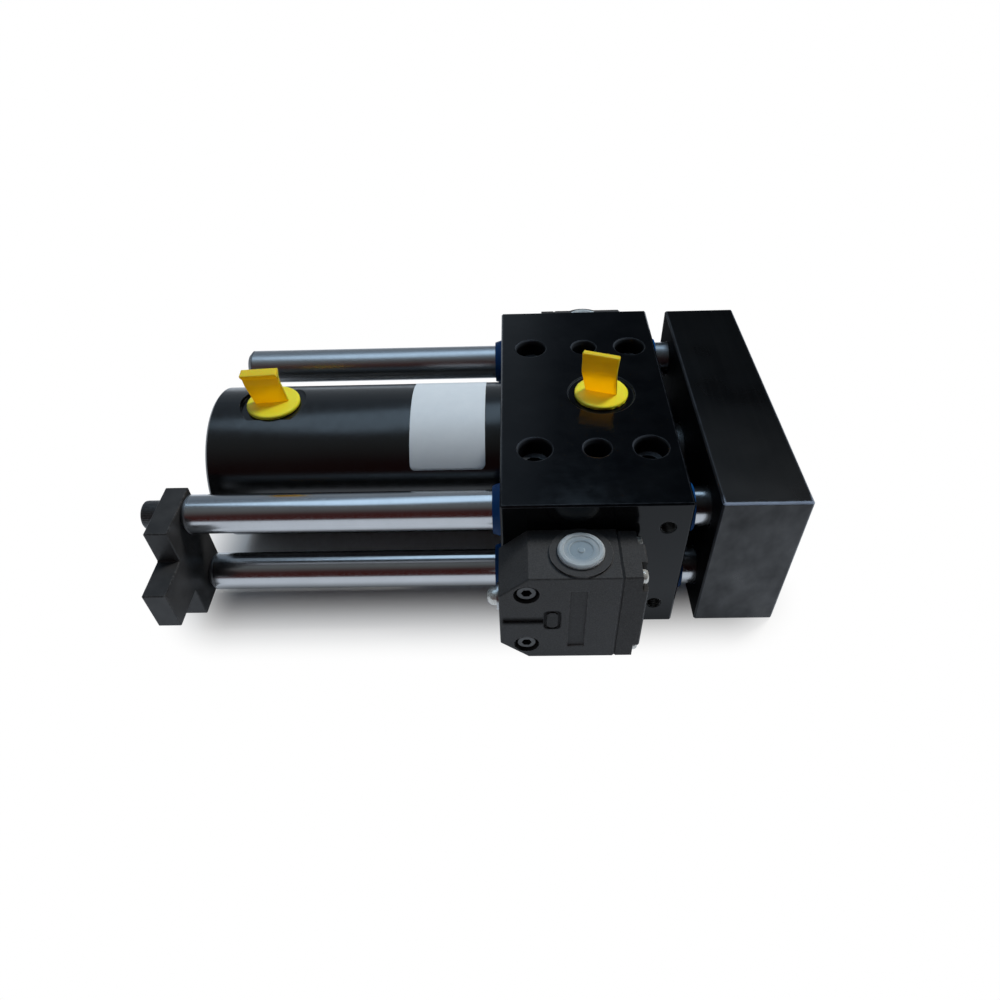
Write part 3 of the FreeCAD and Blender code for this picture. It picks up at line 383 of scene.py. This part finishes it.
def cut_thread():
    """Bare steel on the flanks of a tapped thread."""
    return plain_finish(
        "cut_thread",
        skin=(0.3 * MM, 0.01 * MM),
        clouds=(1.5 * MM, 4),
        tones=((0.04, 0.04, 0.04), (0.32, 0.32, 0.31)),
        rough=(0.8 * MM, 3, 0.25, 0.45),
        Metallic=1.0,
    )


def zinc_plate():
    return plain_finish(
        "zinc_plate",
        skin=(0.25 * MM, 0.006 * MM),
        clouds=(1.2 * MM, 4),
        tones=((0.6, 0.59, 0.55), (0.78, 0.77, 0.73)),
        rough=(0.8 * MM, 3, 0.2, 0.36),
        edge=0.15 * MM,
        Metallic=0.5,
    )


def bronze():
    return plain_finish(
        "bronze",
        skin=(0.3 * MM, 0.008 * MM),
        clouds=(4 * MM, 5),
        tones=((0.42, 0.24, 0.1), (0.56, 0.36, 0.17)),
        rough=(1 * MM, 4, 0.3, 0.5),
        Metallic=1.0,
    )


def seal_rubber():
    return plain_finish(
        "seal_rubber",
        skin=(0.2 * MM, 0.01 * MM),
        clouds=(3 * MM, 4),
        tones=((0.009, 0.009, 0.009), (0.02, 0.02, 0.021)),
        rough=(1 * MM, 4, 0.5, 0.7),
        Specular_IOR_Level=0.4,
    )


def wiper_blue():
    """Dull blue polyurethane."""
    return plain_finish(
        "wiper_blue",
        skin=(0.35 * MM, 0.008 * MM),
        clouds=(3 * MM, 5),
        tones=((0.0025, 0.04, 0.145), (0.005, 0.064, 0.22)),
        rough=(1.5 * MM, 4, 0.42, 0.6),
        Specular_IOR_Level=0.15,
        Subsurface_Weight=0.1,
        Subsurface_Scale=1 * MM,
    )


def contact_plastic():
    return plain_finish(
        "contact_plastic",
        skin=(0.4 * MM, 0.01 * MM),
        clouds=(3 * MM, 4),
        tones=((0.1, 0.02, 0.015), (0.14, 0.03, 0.02)),
        rough=(1 * MM, 4, 0.35, 0.55),
        Specular_IOR_Level=0.5,
    )


def plug_yellow(name, tones, glow=0.0):
    """Soft moulded polyethylene. A thin piece glows orange with the light behind it."""
    orange, stain, scuffed = (1.0, 0.72, 0.006, 1), (0.75, 0.48, 0.05, 1), (0.92, 0.8, 0.12)
    f = Finish(name, Specular_IOR_Level=0.45, Subsurface_Weight=0.3, Subsurface_Scale=0.5 * MM)
    f.bump(f.noise(2.5 * MM, 2), 0.05 * MM)
    f.bump(f.noise(0.3 * MM, 3), 0.012 * MM)
    scuffs = f.spread(f.noise(1.6 * MM, 6, (1, 1, 4)), 0.6, 0.78, 0.0, 0.3)
    color = f.mix(scuffs, f.mix(f.noise(6 * MM, 4), *tones), scuffed)
    f.lay(color, f.uneven(1.2 * MM, 4, 0.34, 0.52))
    if not glow:
        return f.material
    through = f.node("ShaderNodeBsdfTranslucent", {"Color": orange}).outputs["BSDF"]
    clear = f.node("ShaderNodeBsdfTransparent", {"Color": stain}).outputs["BSDF"]
    body = f.layer(glow, f.shader.outputs["BSDF"], through)
    shadow = f.node("ShaderNodeLightPath").outputs["Is Shadow Ray"]
    return f.show(f.layer(f.product(shadow, glow), body, clear))


def paint_face_shade(f, face, color, shine):
    """Painted shade in and round the groove and the frame sunk in a switch's outer face and a
    little over its sunk panel, darker where sunk, and painted light on the ledge of its panel.
    The far switch is the near one turned half round."""
    frame_middle, frame_half, frame_corner = -19 * MM, (1.5 * MM, 4.2 * MM), 1.5 * MM
    groove_ends = (-41 * MM, -39.6 * MM), (-22 * MM, -23 * MM)
    groove_level = SWITCH_LEVEL - 0.4 * MM
    ledge_ends = (-12.5 * MM, -12 * MM), (-4.3 * MM, -4.8 * MM)
    ledge_levels = (19 * MM, 19.3 * MM), (20.2 * MM, 19.8 * MM)
    shade_tones = (0.008, 0.008, 0.0085), (0.021, 0.021, 0.022)
    pale_tone = (0.5, 0.5, 0.5)

    place, facet = f.axes(f.place), f.facet()
    way = f.math("SIGN", place["Y"])
    along = f.product(place["X"], way, -1.0)
    level = f.off(place["Z"], SWITCH_LEVEL)
    depth = f.math("SUBTRACT", face, f.off(place["Y"]))
    sunk = f.spread(depth, 0.1 * MM, 0.4 * MM)
    outer = f.spread(f.product(facet["Y"], way), 0.6, 0.9)
    outer = f.product(outer, f.spread(depth, 1.4 * MM, 1.2 * MM))

    groove = f.spread(f.off(place["Z"], groove_level), 3.2 * MM, 1.3 * MM)
    groove = f.product(f.window(along, *groove_ends), groove)
    beside = f.math("SUBTRACT", f.off(along, frame_middle), frame_half[0])
    above = f.math("SUBTRACT", level, frame_half[1])
    ring = f.spread(f.off(f.outside(beside, above), frame_corner), 1.15 * MM, 0.4 * MM)
    inside = f.spread(beside, 2.2 * MM, 1.8 * MM, 0.0, 0.3)
    inside = f.product(f.spread(level, 6.4 * MM, 6.2 * MM), inside)
    panel = f.spread(along, -14 * MM, -13 * MM, 0.0, 0.22)
    panel = f.product(f.spread(depth, 0.3 * MM, 0.5 * MM), panel)
    # painted shade in the groove, round and inside the frame, and a little over the sunk panel
    painted_shade = f.product(outer, f.greatest(groove, ring, panel, inside))
    f.shine(f.scaled(painted_shade, shine, f.scaled(sunk, 0.02, 0.06)))
    color = f.mix(painted_shade, color, f.mix(sunk, *shade_tones))

    # painted light: the upward ledge of the panel, which lies in shade, is painted pale
    ledge = f.product(
        f.spread(facet["Z"], 0.6, 0.9),
        f.spread(depth, 0.9 * MM, 0.75 * MM),
        f.window(along, *ledge_ends),
        f.window(level, *ledge_levels),
    )
    return f.mix(ledge, color, pale_tone)


def cast_metal(name, shine, face=None):
    """Die-cast housing with a dull dark coat and a fine cast skin. face is how far from the
    part's middle an outer face with painted shade lies."""
    tones = (0.032, 0.032, 0.033), (0.058, 0.058, 0.059)
    f = Finish(name, Specular_IOR_Level=shine)
    f.round_edges(0.3 * MM)
    skin = f.noise(0.55 * MM, 3)
    f.bump(skin, 0.06 * MM)
    tone = f.mix(f.spread(skin, 0.32, 0.7), *tones)
    tone = f.mix(f.uneven(9 * MM, 4, 0.0, 0.35), tone, (0.054, 0.055, 0.058))
    rubbed = f.spread(f.noise(1.5 * MM, 4), 0.45, 0.65, 0.0, 0.8)
    color = f.mix(f.product(f.worn_edges(0.6 * MM), rubbed), tone, (0.13, 0.13, 0.13))
    if face:
        color = paint_face_shade(f, face, color, shine)
    return f.lay(color, f.uneven(0.7 * MM, 3, 0.42, 0.62))


def cap_grey(side):
    """Milky moulded plastic, greyer over the hollow under its middle and pale round its rim, with
    painted light on its side walls, which are much paler than its top.
    """
    middle_tones = (0.2, 0.26, 0.31), (0.25, 0.31, 0.36)
    rim_highlight_tones = (0.31, 0.36, 0.395), (0.38, 0.42, 0.45)
    painted_wall_light = (0.62, 0.66, 0.68)
    rim_span = (5.2 * MM, 7.4 * MM)
    f = Finish(
        f"{side}_cap_grey",
        Specular_IOR_Level=0.5,
        Subsurface_Weight=1.0,
        Subsurface_Radius=(1.0, 1.0, 1.0),
        Subsurface_Scale=3 * MM,
    )
    f.bump(f.noise(0.4 * MM, 3), 0.008 * MM)
    low, high = (Vector(corner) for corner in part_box(f"{side}_switch_entry_plug"))
    out = f.vector("SUBTRACT", f.place, (low + high) / 2)["Vector"]
    radius = f.vector("LENGTH", f.vector("MULTIPLY", out, (1, 1, 0))["Vector"])["Value"]
    clouds = f.noise(2.5 * MM, 4)
    tone = f.mix(
        f.spread(radius, *rim_span), f.mix(clouds, *middle_tones), f.mix(clouds, *rim_highlight_tones)
    )
    # painted light: the side walls are much paler than the top
    tone = f.mix(f.spread(f.facet()["Z"], 0.8, 0.3), tone, painted_wall_light)
    return f.lay(tone, f.uneven(1 * MM, 4, 0.25, 0.42))


def label_film():
    """Bare satin film, slightly uneven where it follows the tube."""
    tones, speck = ((0.6, 0.67, 0.735), (0.67, 0.735, 0.79)), (0.46, 0.5, 0.54)
    f = Finish("label_film", Specular_IOR_Level=0.5)
    f.bump(f.noise(4 * MM, 3), 0.02 * MM)
    f.bump(f.noise(0.25 * MM, 3), 0.004 * MM)
    specks = f.spread(f.noise(0.6 * MM, 4), 0.66, 0.74, 0.0, 0.25)
    color = f.mix(specks, f.mix(f.noise(5 * MM, 5), *tones), speck)
    return f.lay(color, f.uneven(2 * MM, 4, 0.32, 0.46))


def switch_nodes(*names):
    return [f"{side}_switch_{name}" for side in SIDES for name in names]


def dress(material, names):
    for name in names:
        for slot in nodes[name].material_slots:
            slot.material = material


def dress_nodes(zinc, black, flange):
    """A finish for every CAD node."""
    rods = [f"{side}_{level}" for side in SIDES for level in ("upper", "lower")]
    ends = [f"{end}_{rod}" for end in ("front", "rear") for rod in rods]
    near_rods = ["guide_rod_near_upper", "guide_rod_near_lower"]
    far_rods = ["guide_rod_far_upper", "guide_rod_far_lower"]
    screws = ["guide_rod_screws", "piston_rod_screw", "bracket_screws"]
    seals = ["barrel_seal", "cap_seal", "gland_seal", "rod_seal", "piston_seal"]
    turned = ["piston", "piston_nut", "rod_gland"]

    dress(blackened_steel(), ["guide_block"])
    dress(mottled_steel(), ["front_plate"])
    dress(satin_steel(), ["trip_bracket"])
    dress(barrel_paint(), ["cylinder_barrel", "cylinder_cap"])
    dress(hard_chrome("bright_chrome", low=0.17, high=0.25), ["piston_rod"] + near_rods)
    dress(hard_chrome("oiled_chrome", low=0.3, high=0.37), far_rods)
    dress(black, screws + switch_nodes("mounting_screws"))
    dress(zinc, switch_nodes("cover_screws", "plunger"))
    dress(turned_steel(), turned + switch_nodes("plunger_bush"))
    dress(bronze(), ["piston_guide_ring"] + [f"guide_bush_{end}" for end in ends])
    dress(seal_rubber(), seals + switch_nodes("gasket"))
    dress(wiper_blue(), ["rod_wiper"] + [f"guide_wiper_{end}" for end in ends])
    dress(flange, ["port_plug_front", "port_plug_rear"])
    face = -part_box("near_switch_housing")[0][1]
    dress(cast_metal("switch_cast", shine=0.2, face=face), switch_nodes("housing"))
    dress(cast_metal("cover_cast", shine=0.12), switch_nodes("cover"))
    for side in SIDES:
        dress(cap_grey(side), [f"{side}_switch_entry_plug"])
    dress(contact_plastic(), switch_nodes("contact_block"))


def bevel(piece, width, segments):
    modifier = piece.modifiers.new("bevel", "BEVEL")
    modifier.width = width
    modifier.segments = segments
    modifier.limit_method = "ANGLE"
    modifier.angle_limit = SHARP_ANGLE
    return modifier


def thicken(piece, thickness, offset):
    modifier = piece.modifiers.new("wall", "SOLIDIFY")
    modifier.thickness = thickness
    modifier.offset = offset


def soften_nodes():
    """Small bevels along the sharp edges of the plate, the block and the bracket."""
    widths = {"front_plate": 0.9 * MM, "guide_block": 0.5 * MM, "trip_bracket": 0.3 * MM}
    for name, width in widths.items():
        weld = nodes[name].modifiers.new("weld", "WELD")
        weld.merge_threshold = 0.001 * MM
        edges = bevel(nodes[name], width, segments=2)
        edges.use_clamp_overlap = False
        edges.loop_slide = False
        edges.harden_normals = True


def join_rings(bm, rings):
    """Faces between each closed ring of points and the next."""
    for first, second in zip(rings, rings[1:]):
        for step in range(len(first)):
            after = (step + 1) % len(first)
            bm.faces.new((first[step], second[step], second[after], first[after]))


def new_piece(name, bm, material, body):
    mesh = bpy.data.meshes.new(name)
    bmesh.ops.recalc_face_normals(bm, faces=bm.faces)
    bm.to_mesh(mesh)
    bm.free()
    mesh.materials.append(material)
    piece = bpy.data.objects.new(name, mesh)
    scene.collection.objects.link(piece)
    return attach(piece, body)


def barrel_label():
    """A bare film with rounded corners on the barrel, from its near side over its top."""
    left, right = -84.2 * MM, -48.1 * MM
    low, high = math.radians(32.4), math.radians(133)
    corner = 2.6 * MM
    film = 0.12 * MM
    columns, rows = 36, 72
    bm = bmesh.new()
    grid = []
    for i in range(columns + 1):
        x = left + (right - left) * (0.5 - 0.5 * math.cos(math.pi * i / columns))
        from_side = min(x - left, right - x)
        inset = 0.0
        if from_side < corner:
            inset = corner - math.sqrt(max(corner ** 2 - (corner - from_side) ** 2, 0.0))
        start = low + inset / BARREL_RADIUS
        end = high - inset / BARREL_RADIUS
        column = []
        for j in range(rows + 1):
            turn = start + (end - start) * j / rows
            out = Vector((0, -math.cos(turn), math.sin(turn))) * (BARREL_RADIUS + film)
            column.append(bm.verts.new(Vector((x, 0, AXIS_HEIGHT)) + out))
        grid.append(column)
    for first, second in zip(grid, grid[1:]):
        for j in range(rows):
            bm.faces.new((first[j], second[j], second[j + 1], first[j + 1])).smooth = True
    piece = new_piece("barrel_label", bm, label_film(), "housing")
    thicken(piece, film, offset=-1)


def port_plugs(flange):
    """Pull-out plugs whose soft tabs have taken a set: kinked, leaning and thick along the top."""
    # the tab and its rim get their own, more orange copies of the plastic, as painted light
    # through the tab
    tab = plug_yellow("plug_tab", TAB_TONES, glow=0.68)
    rim = plug_yellow("plug_rim", RIM_TONES, glow=0.2)
    for end, plug in PLUGS.items():
        bm = bmesh.new()
        plug_disc(bm)
        plug_tab(bm, **plug["tab"])
        for face in bm.faces:
            face.smooth = True
        seat = Matrix.Translation(Vector(plug["seat"]) * MM)
        turn = Matrix.Rotation(math.radians(plug["turn"]), 4, "Z")
        bmesh.ops.transform(bm, matrix=seat @ turn @ Matrix.Scale(MM, 4), verts=bm.verts)
        piece = new_piece(f"pull_plug_{end}", bm, flange, f"{end}_plug")
        piece.data.materials.append(tab)
        piece.data.materials.append(rim)
        bevel(piece, 0.5 * MM, segments=3)
        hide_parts(f"port_plug_{end}")


def plug_disc(bm):
    """The round flange and the stub under it, in mm."""
    profile = [(8.5, -7), (9.2, 0), (12.7, 0), (13, 0.4), (13, 1.5), (12.6, 2.05), (11.6, 2.2)]
    around = 72
    turns = [math.tau * step / around for step in range(around)]
    rings = [
        [bm.verts.new((radius * math.cos(turn), radius * math.sin(turn), z)) for turn in turns]
        for radius, z in profile
    ]
    join_rings(bm, rings)
    bm.faces.new(rings[0])
    bm.faces.new(rings[-1][::-1])


def plug_tab(bm, halves, top, fore, back, shift, lean, rim):
    """A sheet that slopes towards -Y up to a soft kink, then back, and ends in a thicker rim."""
    foot, sheet = 1.8, 2.0
    rim_start, kink_start, kink_span = 0.84, 0.54, 0.2
    rows, columns = 36, 10
    points = {}
    middle = 0.0
    for row in range(rows + 1):
        rise = row / rows
        half = halves[0] + (halves[1] - halves[0]) * rise
        swell = max(0.0, (rise - rim_start) / (1 - rim_start))
        thick = sheet + (rim - sheet) * (1 - (1 - swell) ** 2)
        turned = min(max((rise - kink_start) / kink_span, 0.0), 1.0)
        turned = turned ** 2 * (3 - 2 * turned)
        z = foot + (top - foot) * rise
        for way in (-1, 1):
            y = middle + way * thick / 2
            for column in range(columns + 1):
                across = 2 * column / columns - 1
                x = half * across + shift + lean * rise
                points[way, row, column] = bm.verts.new((x, y, z))
        middle += (back * turned - fore * (1 - turned)) * (top - foot) / rows

    for row in range(rows):
        for column in range(columns):
            corners = [(row, column), (row, column + 1), (row + 1, column + 1), (row + 1, column)]
            for way in (-1, 1):
                face = bm.faces.new([points[(way, *corner)] for corner in corners[::-way]])
                face.material_index = TAB_SLOT
    outline = [(0, column) for column in range(columns)]
    outline += [(row, columns) for row in range(rows)]
    outline += [(rows, column) for column in range(columns, 0, -1)]
    outline += [(row, 0) for row in range(rows, 0, -1)]
    for first, second in zip(outline, outline[1:] + outline[:1]):
        corners = [(-1, *first), (1, *first), (1, *second), (-1, *second)]
        bm.faces.new([points[corner] for corner in corners]).material_index = RIM_SLOT


def thread(name, mouth, inward, radius, depth, pitch, body, material):
    """A helical thread standing on the wall of a blind hole, from its mouth inwards."""
    clearance, height = 0.06 * MM, 0.5 * pitch
    around, rows_a_turn = 40, 8
    inward = Vector(inward)
    side = inward.orthogonal().normalized()
    across = inward.cross(side)
    rows = int(depth / pitch * rows_a_turn)
    bm = bmesh.new()
    rings = []
    for row in range(rows + 1):
        along = depth * row / rows
        ring = []
        for step in range(around):
            turn = math.tau * step / around
            phase = (along / pitch + step / around) % 1.0
            reach = radius - clearance - height * (0.5 - abs(phase - 0.5))
            out = side * math.cos(turn) + across * math.sin(turn)
            ring.append(bm.verts.new(mouth + inward * along + out * reach))
        rings.append(ring)
    join_rings(bm, rings)
    piece = new_piece(name, bm, material, body)
    thicken(piece, 0.04 * MM, offset=0)


def threads():
    """Threads in the block's side holes, the plate's tool holes and the far rods' bare ends."""
    steel = cut_thread()

    def pair(name, x, y, rise, inward, size, body):
        for count, way in enumerate((-1, 1), start=1):
            mouth = Vector((x * MM, y * MM, AXIS_HEIGHT + way * rise * MM))
            thread(f"{name}_{count}", mouth, inward, **size, body=body, material=steel)

    for side, way in SIDES.items():
        side_x, side_y, tool_y = -30.7 * way, 77.3 * way, 30 * way
        pair(f"{side}_side_thread", side_x, side_y, 26, (0, -way, 0), SIDE_THREAD, "housing")
        pair(f"{side}_tool_thread", 88.6, tool_y, 25, (-1, 0, 0), TOOL_THREAD, "slide")
    pair("far_tail_thread", -182.4, 59, 20, (1, 0, 0), TAIL_THREAD, "slide")


def cross_screws(node, way, material):
    """Four pan-head screws with cross recesses in place of a node's plain ones."""
    low, high = (Vector(corner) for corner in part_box(node))
    top = high.x if way > 0 else low.x
    head = 3.0 * MM
    bm = bmesh.new()
    for y in (low.y + head, high.y - head):
        for z in (low.z + head, high.z - head):
            cross_screw(bm, Vector((top, y, z)), way, head, high.x - low.x)
    piece = new_piece(f"{node}_cross", bm, material, "housing")
    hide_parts(node)


def cross_screw(bm, crown, way, head, length):
    """One screw along X, from its tip to the recess in the flat middle of its domed head."""
    around = 40
    shank = flat = 1.6 * MM
    under, dome = 2.6 * MM, 1.6 * MM
    turns = [math.tau * step / around for step in range(around)]

    def ring_at(depth, radius):
        points = [(-way * depth, radius * math.cos(a), radius * math.sin(a)) for a in turns]
        return [bm.verts.new(crown + Vector(point)) for point in points]

    def cross_at(depth, half, reach):
        outline = []
        for turn in range(4):
            for y, z in ((reach, -half), (reach, half), (half, half)):
                for _ in range(turn):
                    y, z = -z, y
                outline.append(bm.verts.new(crown + Vector((-way * depth, y, z))))
        return outline

    profile = [(length, shank), (under, shank), (under, head), (dome, head)]
    for bend in (0.3, 0.6, 0.9, 1.2):
        profile.append((dome * (1 - math.sin(bend)), flat + (head - flat) * math.cos(bend)))
    profile.append((0.0, flat))
    rings = [ring_at(depth, radius) for depth, radius in profile]
    join_rings(bm, rings)
    bm.faces.new(rings[0])

    mouth = cross_at(depth=0.0, half=0.42 * MM, reach=1.35 * MM)
    foot = cross_at(depth=1.5 * MM, half=0.26 * MM, reach=0.8 * MM)
    join_rings(bm, [mouth, foot])
    bm.faces.new(foot)
    edges = []
    for loop in (rings[-1], mouth):
        edges += [bm.edges.get(ends) for ends in zip(loop, loop[1:] + loop[:1])]
    bmesh.ops.triangle_fill(bm, use_beauty=True, edges=edges)


def knurls(node, radius, from_x, to_x, teeth, material):
    """Straight knurling round the heads of a node's socket screws, which lie along X."""
    low, high = (Vector(corner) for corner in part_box(node))
    ys = sorted({round(low.y + radius, 6), round(high.y - radius, 6)})
    zs = sorted({round(low.z + radius, 6), round(high.z - radius, 6)})
    tooth = (0.02 * MM, 0.08 * MM, 0.08 * MM, 0.02 * MM)
    least, inset, fade = 0.01 * MM, 0.1 * MM, 0.3 * MM
    around = teeth * len(tooth)
    stations = ((from_x, inset), (from_x + fade, 0), (to_x - fade, 0), (to_x, inset))
    bm = bmesh.new()
    for y in ys:
        for z in zs:
            rings = []
            for x, drop in stations:
                ring = []
                for step in range(around):
                    turn = math.tau * step / around
                    reach = radius + max(tooth[step % len(tooth)] - drop, least)
                    point = (x, y + reach * math.cos(turn), z + reach * math.sin(turn))
                    ring.append(bm.verts.new(point))
                rings.append(ring)
            join_rings(bm, rings)
    piece = new_piece(f"{node}_knurl", bm, material, "slide")
    thicken(piece, 0.05 * MM, offset=-1)


def fasteners(zinc, black):
    heads = {
        "bracket_screws": dict(radius=6.5 * MM, from_x=-201.3 * MM, to_x=-194.9 * MM, teeth=44),
        "guide_rod_screws": dict(radius=8 * MM, from_x=79 * MM, to_x=87.2 * MM, teeth=52),
        "piston_rod_screw": dict(radius=12 * MM, from_x=73 * MM, to_x=87.2 * MM, teeth=76),
    }
    for side, way in SIDES.items():
        cross_screws(f"{side}_switch_cover_screws", -way, zinc)
    for node, head in heads.items():
        knurls(node, **head, material=black)


def floor():
    """White sheet: it keeps the shadows near the part, and is plain white away from it and
    bluish in the metal."""
    middle_x, half_x, half_y, fade = -0.055, 0.12, 0.055, 0.045
    paper = (0.88, 0.88, 0.88, 1)
    mirrored, plain = (0.82, 0.9, 1.0), (1.0, 1.0, 1.0)
    bm = bmesh.new()
    bmesh.ops.create_grid(bm, x_segments=8, y_segments=8, size=20)
    mesh = bpy.data.meshes.new("floor")
    bm.to_mesh(mesh)
    bm.free()
    piece = bpy.data.objects.new("floor", mesh)
    scene.collection.objects.link(piece)

    f = Finish("floor_white")
    f.tree.nodes.remove(f.shader)
    place = f.axes(f.place)
    beside = f.math("SUBTRACT", f.off(place["X"], middle_x), half_x)
    before = f.math("SUBTRACT", f.off(place["Y"]), half_y)
    inputs = {"Value": f.outside(beside, before), "From Max": fade}
    away = f.node("ShaderNodeMapRange", inputs, interpolation_type="SMOOTHSTEP").outputs["Result"]
    path = f.node("ShaderNodeLightPath").outputs
    seen = f.greatest(path["Is Camera Ray"], path["Is Glossy Ray"], path["Is Transmission Ray"])
    matte = f.node("ShaderNodeBsdfDiffuse", {"Color": paper}).outputs["BSDF"]
    inputs = {"Color": f.mix(path["Is Camera Ray"], mirrored, plain), "Strength": 1.0}
    white = f.node("ShaderNodeEmission", inputs).outputs["Emission"]
    mesh.materials.append(f.show(f.layer(f.product(seen, away), matte, white)))


def studio():
    """A dim room: grey behind the part, dark on its right and reddish on the camera's side."""
    depth_stops = [
        (-0.95, (0.07, 0.017, 0.015)),
        (-0.78, (0.065, 0.025, 0.024)),
        (-0.62, (0.11, 0.1, 0.1)),
        (-0.38, (0.16, 0.175, 0.18)),
        (0.1, (0.15, 0.17, 0.19)),
        (0.7, (0.19, 0.24, 0.3)),
        (1.0, (0.3, 0.34, 0.38)),
    ]
    side_stops = [
        (0.0, (1, 1, 1)),
        (0.06, (0.22, 0.23, 0.25)),
        (0.16, (0.07, 0.07, 0.07)),
        (0.3, (0.045, 0.045, 0.045)),
    ]
    world = bpy.data.worlds.new("studio")
    scene.world = world
    world.use_nodes = True
    tree = world.node_tree
    way = tree.nodes.new("ShaderNodeSeparateXYZ")
    tree.links.new(tree.nodes.new("ShaderNodeTexCoord").outputs["Generated"], way.inputs[0])

    def ramp(axis, stops):
        reach = tree.nodes.new("ShaderNodeMapRange")
        reach.inputs["From Min"].default_value = -1.0
        tree.links.new(way.outputs[axis], reach.inputs["Value"])
        made = tree.nodes.new("ShaderNodeValToRGB")
        tree.links.new(reach.outputs["Result"], made.inputs["Fac"])
        while len(made.color_ramp.elements) < len(stops):
            made.color_ramp.elements.new(0.5)
        for element, (place, color) in zip(made.color_ramp.elements, stops):
            element.position = (place + 1) / 2
            element.color = (*color, 1)
        return made.outputs["Color"]

    both = tree.nodes.new("ShaderNodeMix")
    both.data_type = "RGBA"
    both.blend_type = "MULTIPLY"
    both.inputs["Factor"].default_value = 1.0
    tree.links.new(ramp("Y", depth_stops), both.inputs[COLOR_A])
    tree.links.new(ramp("X", side_stops), both.inputs[COLOR_B])
    tree.links.new(both.outputs[COLOR_OUT], tree.nodes["Background"].inputs["Color"])


def lamp(name, place, turn, size, radiance, color, mirrored):
    """A rectangular softbox of this size and brightness, and whether metal shows it."""
    data = bpy.data.lights.new(name, "AREA")
    data.shape = "RECTANGLE"
    data.size, data.size_y = size
    data.energy = radiance * math.pi * size[0] * size[1]
    data.color = color
    piece = bpy.data.objects.new(name, data)
    piece.location = place
    piece.rotation_euler = turn
    piece.visible_glossy = mirrored
    piece.visible_camera = False
    scene.collection.objects.link(piece)


def lights():
    """A long bluish ceiling panel, slanting over the part, and a lamp on the far right."""
    lamp(
        "ceiling",
        place=(-0.13, 0.45, 1.3),
        turn=(0, 0, math.radians(45)),
        size=(1.36, 0.62),
        radiance=1.6,
        color=(0.56, 0.78, 1.0),
        mirrored=True,
    )
    spot = Vector((0.742, 0.539, 1.311))
    lamp(
        "key",
        place=spot,
        turn=spot.to_track_quat("Z", "Y").to_euler(),
        size=(0.4, 0.4),
        radiance=41.0,
        color=(1.0, 0.97, 0.92),
        mirrored=False,
    )


def camera():
    """The place, the angles in degrees and the lens that were fitted to the photograph."""
    place, yaw, pitch, roll = (-0.0325, -0.28666, 0.28949), 2.099, 44.463, -2.401
    data = bpy.data.cameras.new("camera")
    data.sensor_width = 36
    data.lens = 25.826
    data.clip_start = 0.01
    piece = bpy.data.objects.new("camera", data)
    matrix = Matrix.Translation(place)
    for angle, axis in ((yaw, "Z"), (90 - pitch, "X"), (roll, "Z")):
        matrix = matrix @ Matrix.Rotation(math.radians(angle), 4, axis)
    piece.matrix_world = matrix
    scene.collection.objects.link(piece)
    scene.camera = piece


scene.view_settings.view_transform = "Standard"
zinc = zinc_plate()
black = black_screws()
flange = plug_yellow("plug_flange", FLANGE_TONES)
dress_nodes(zinc, black, flange)
soften_nodes()
barrel_label()
port_plugs(flange)
threads()
fasteners(zinc, black)
floor()
studio()
lights()
camera()
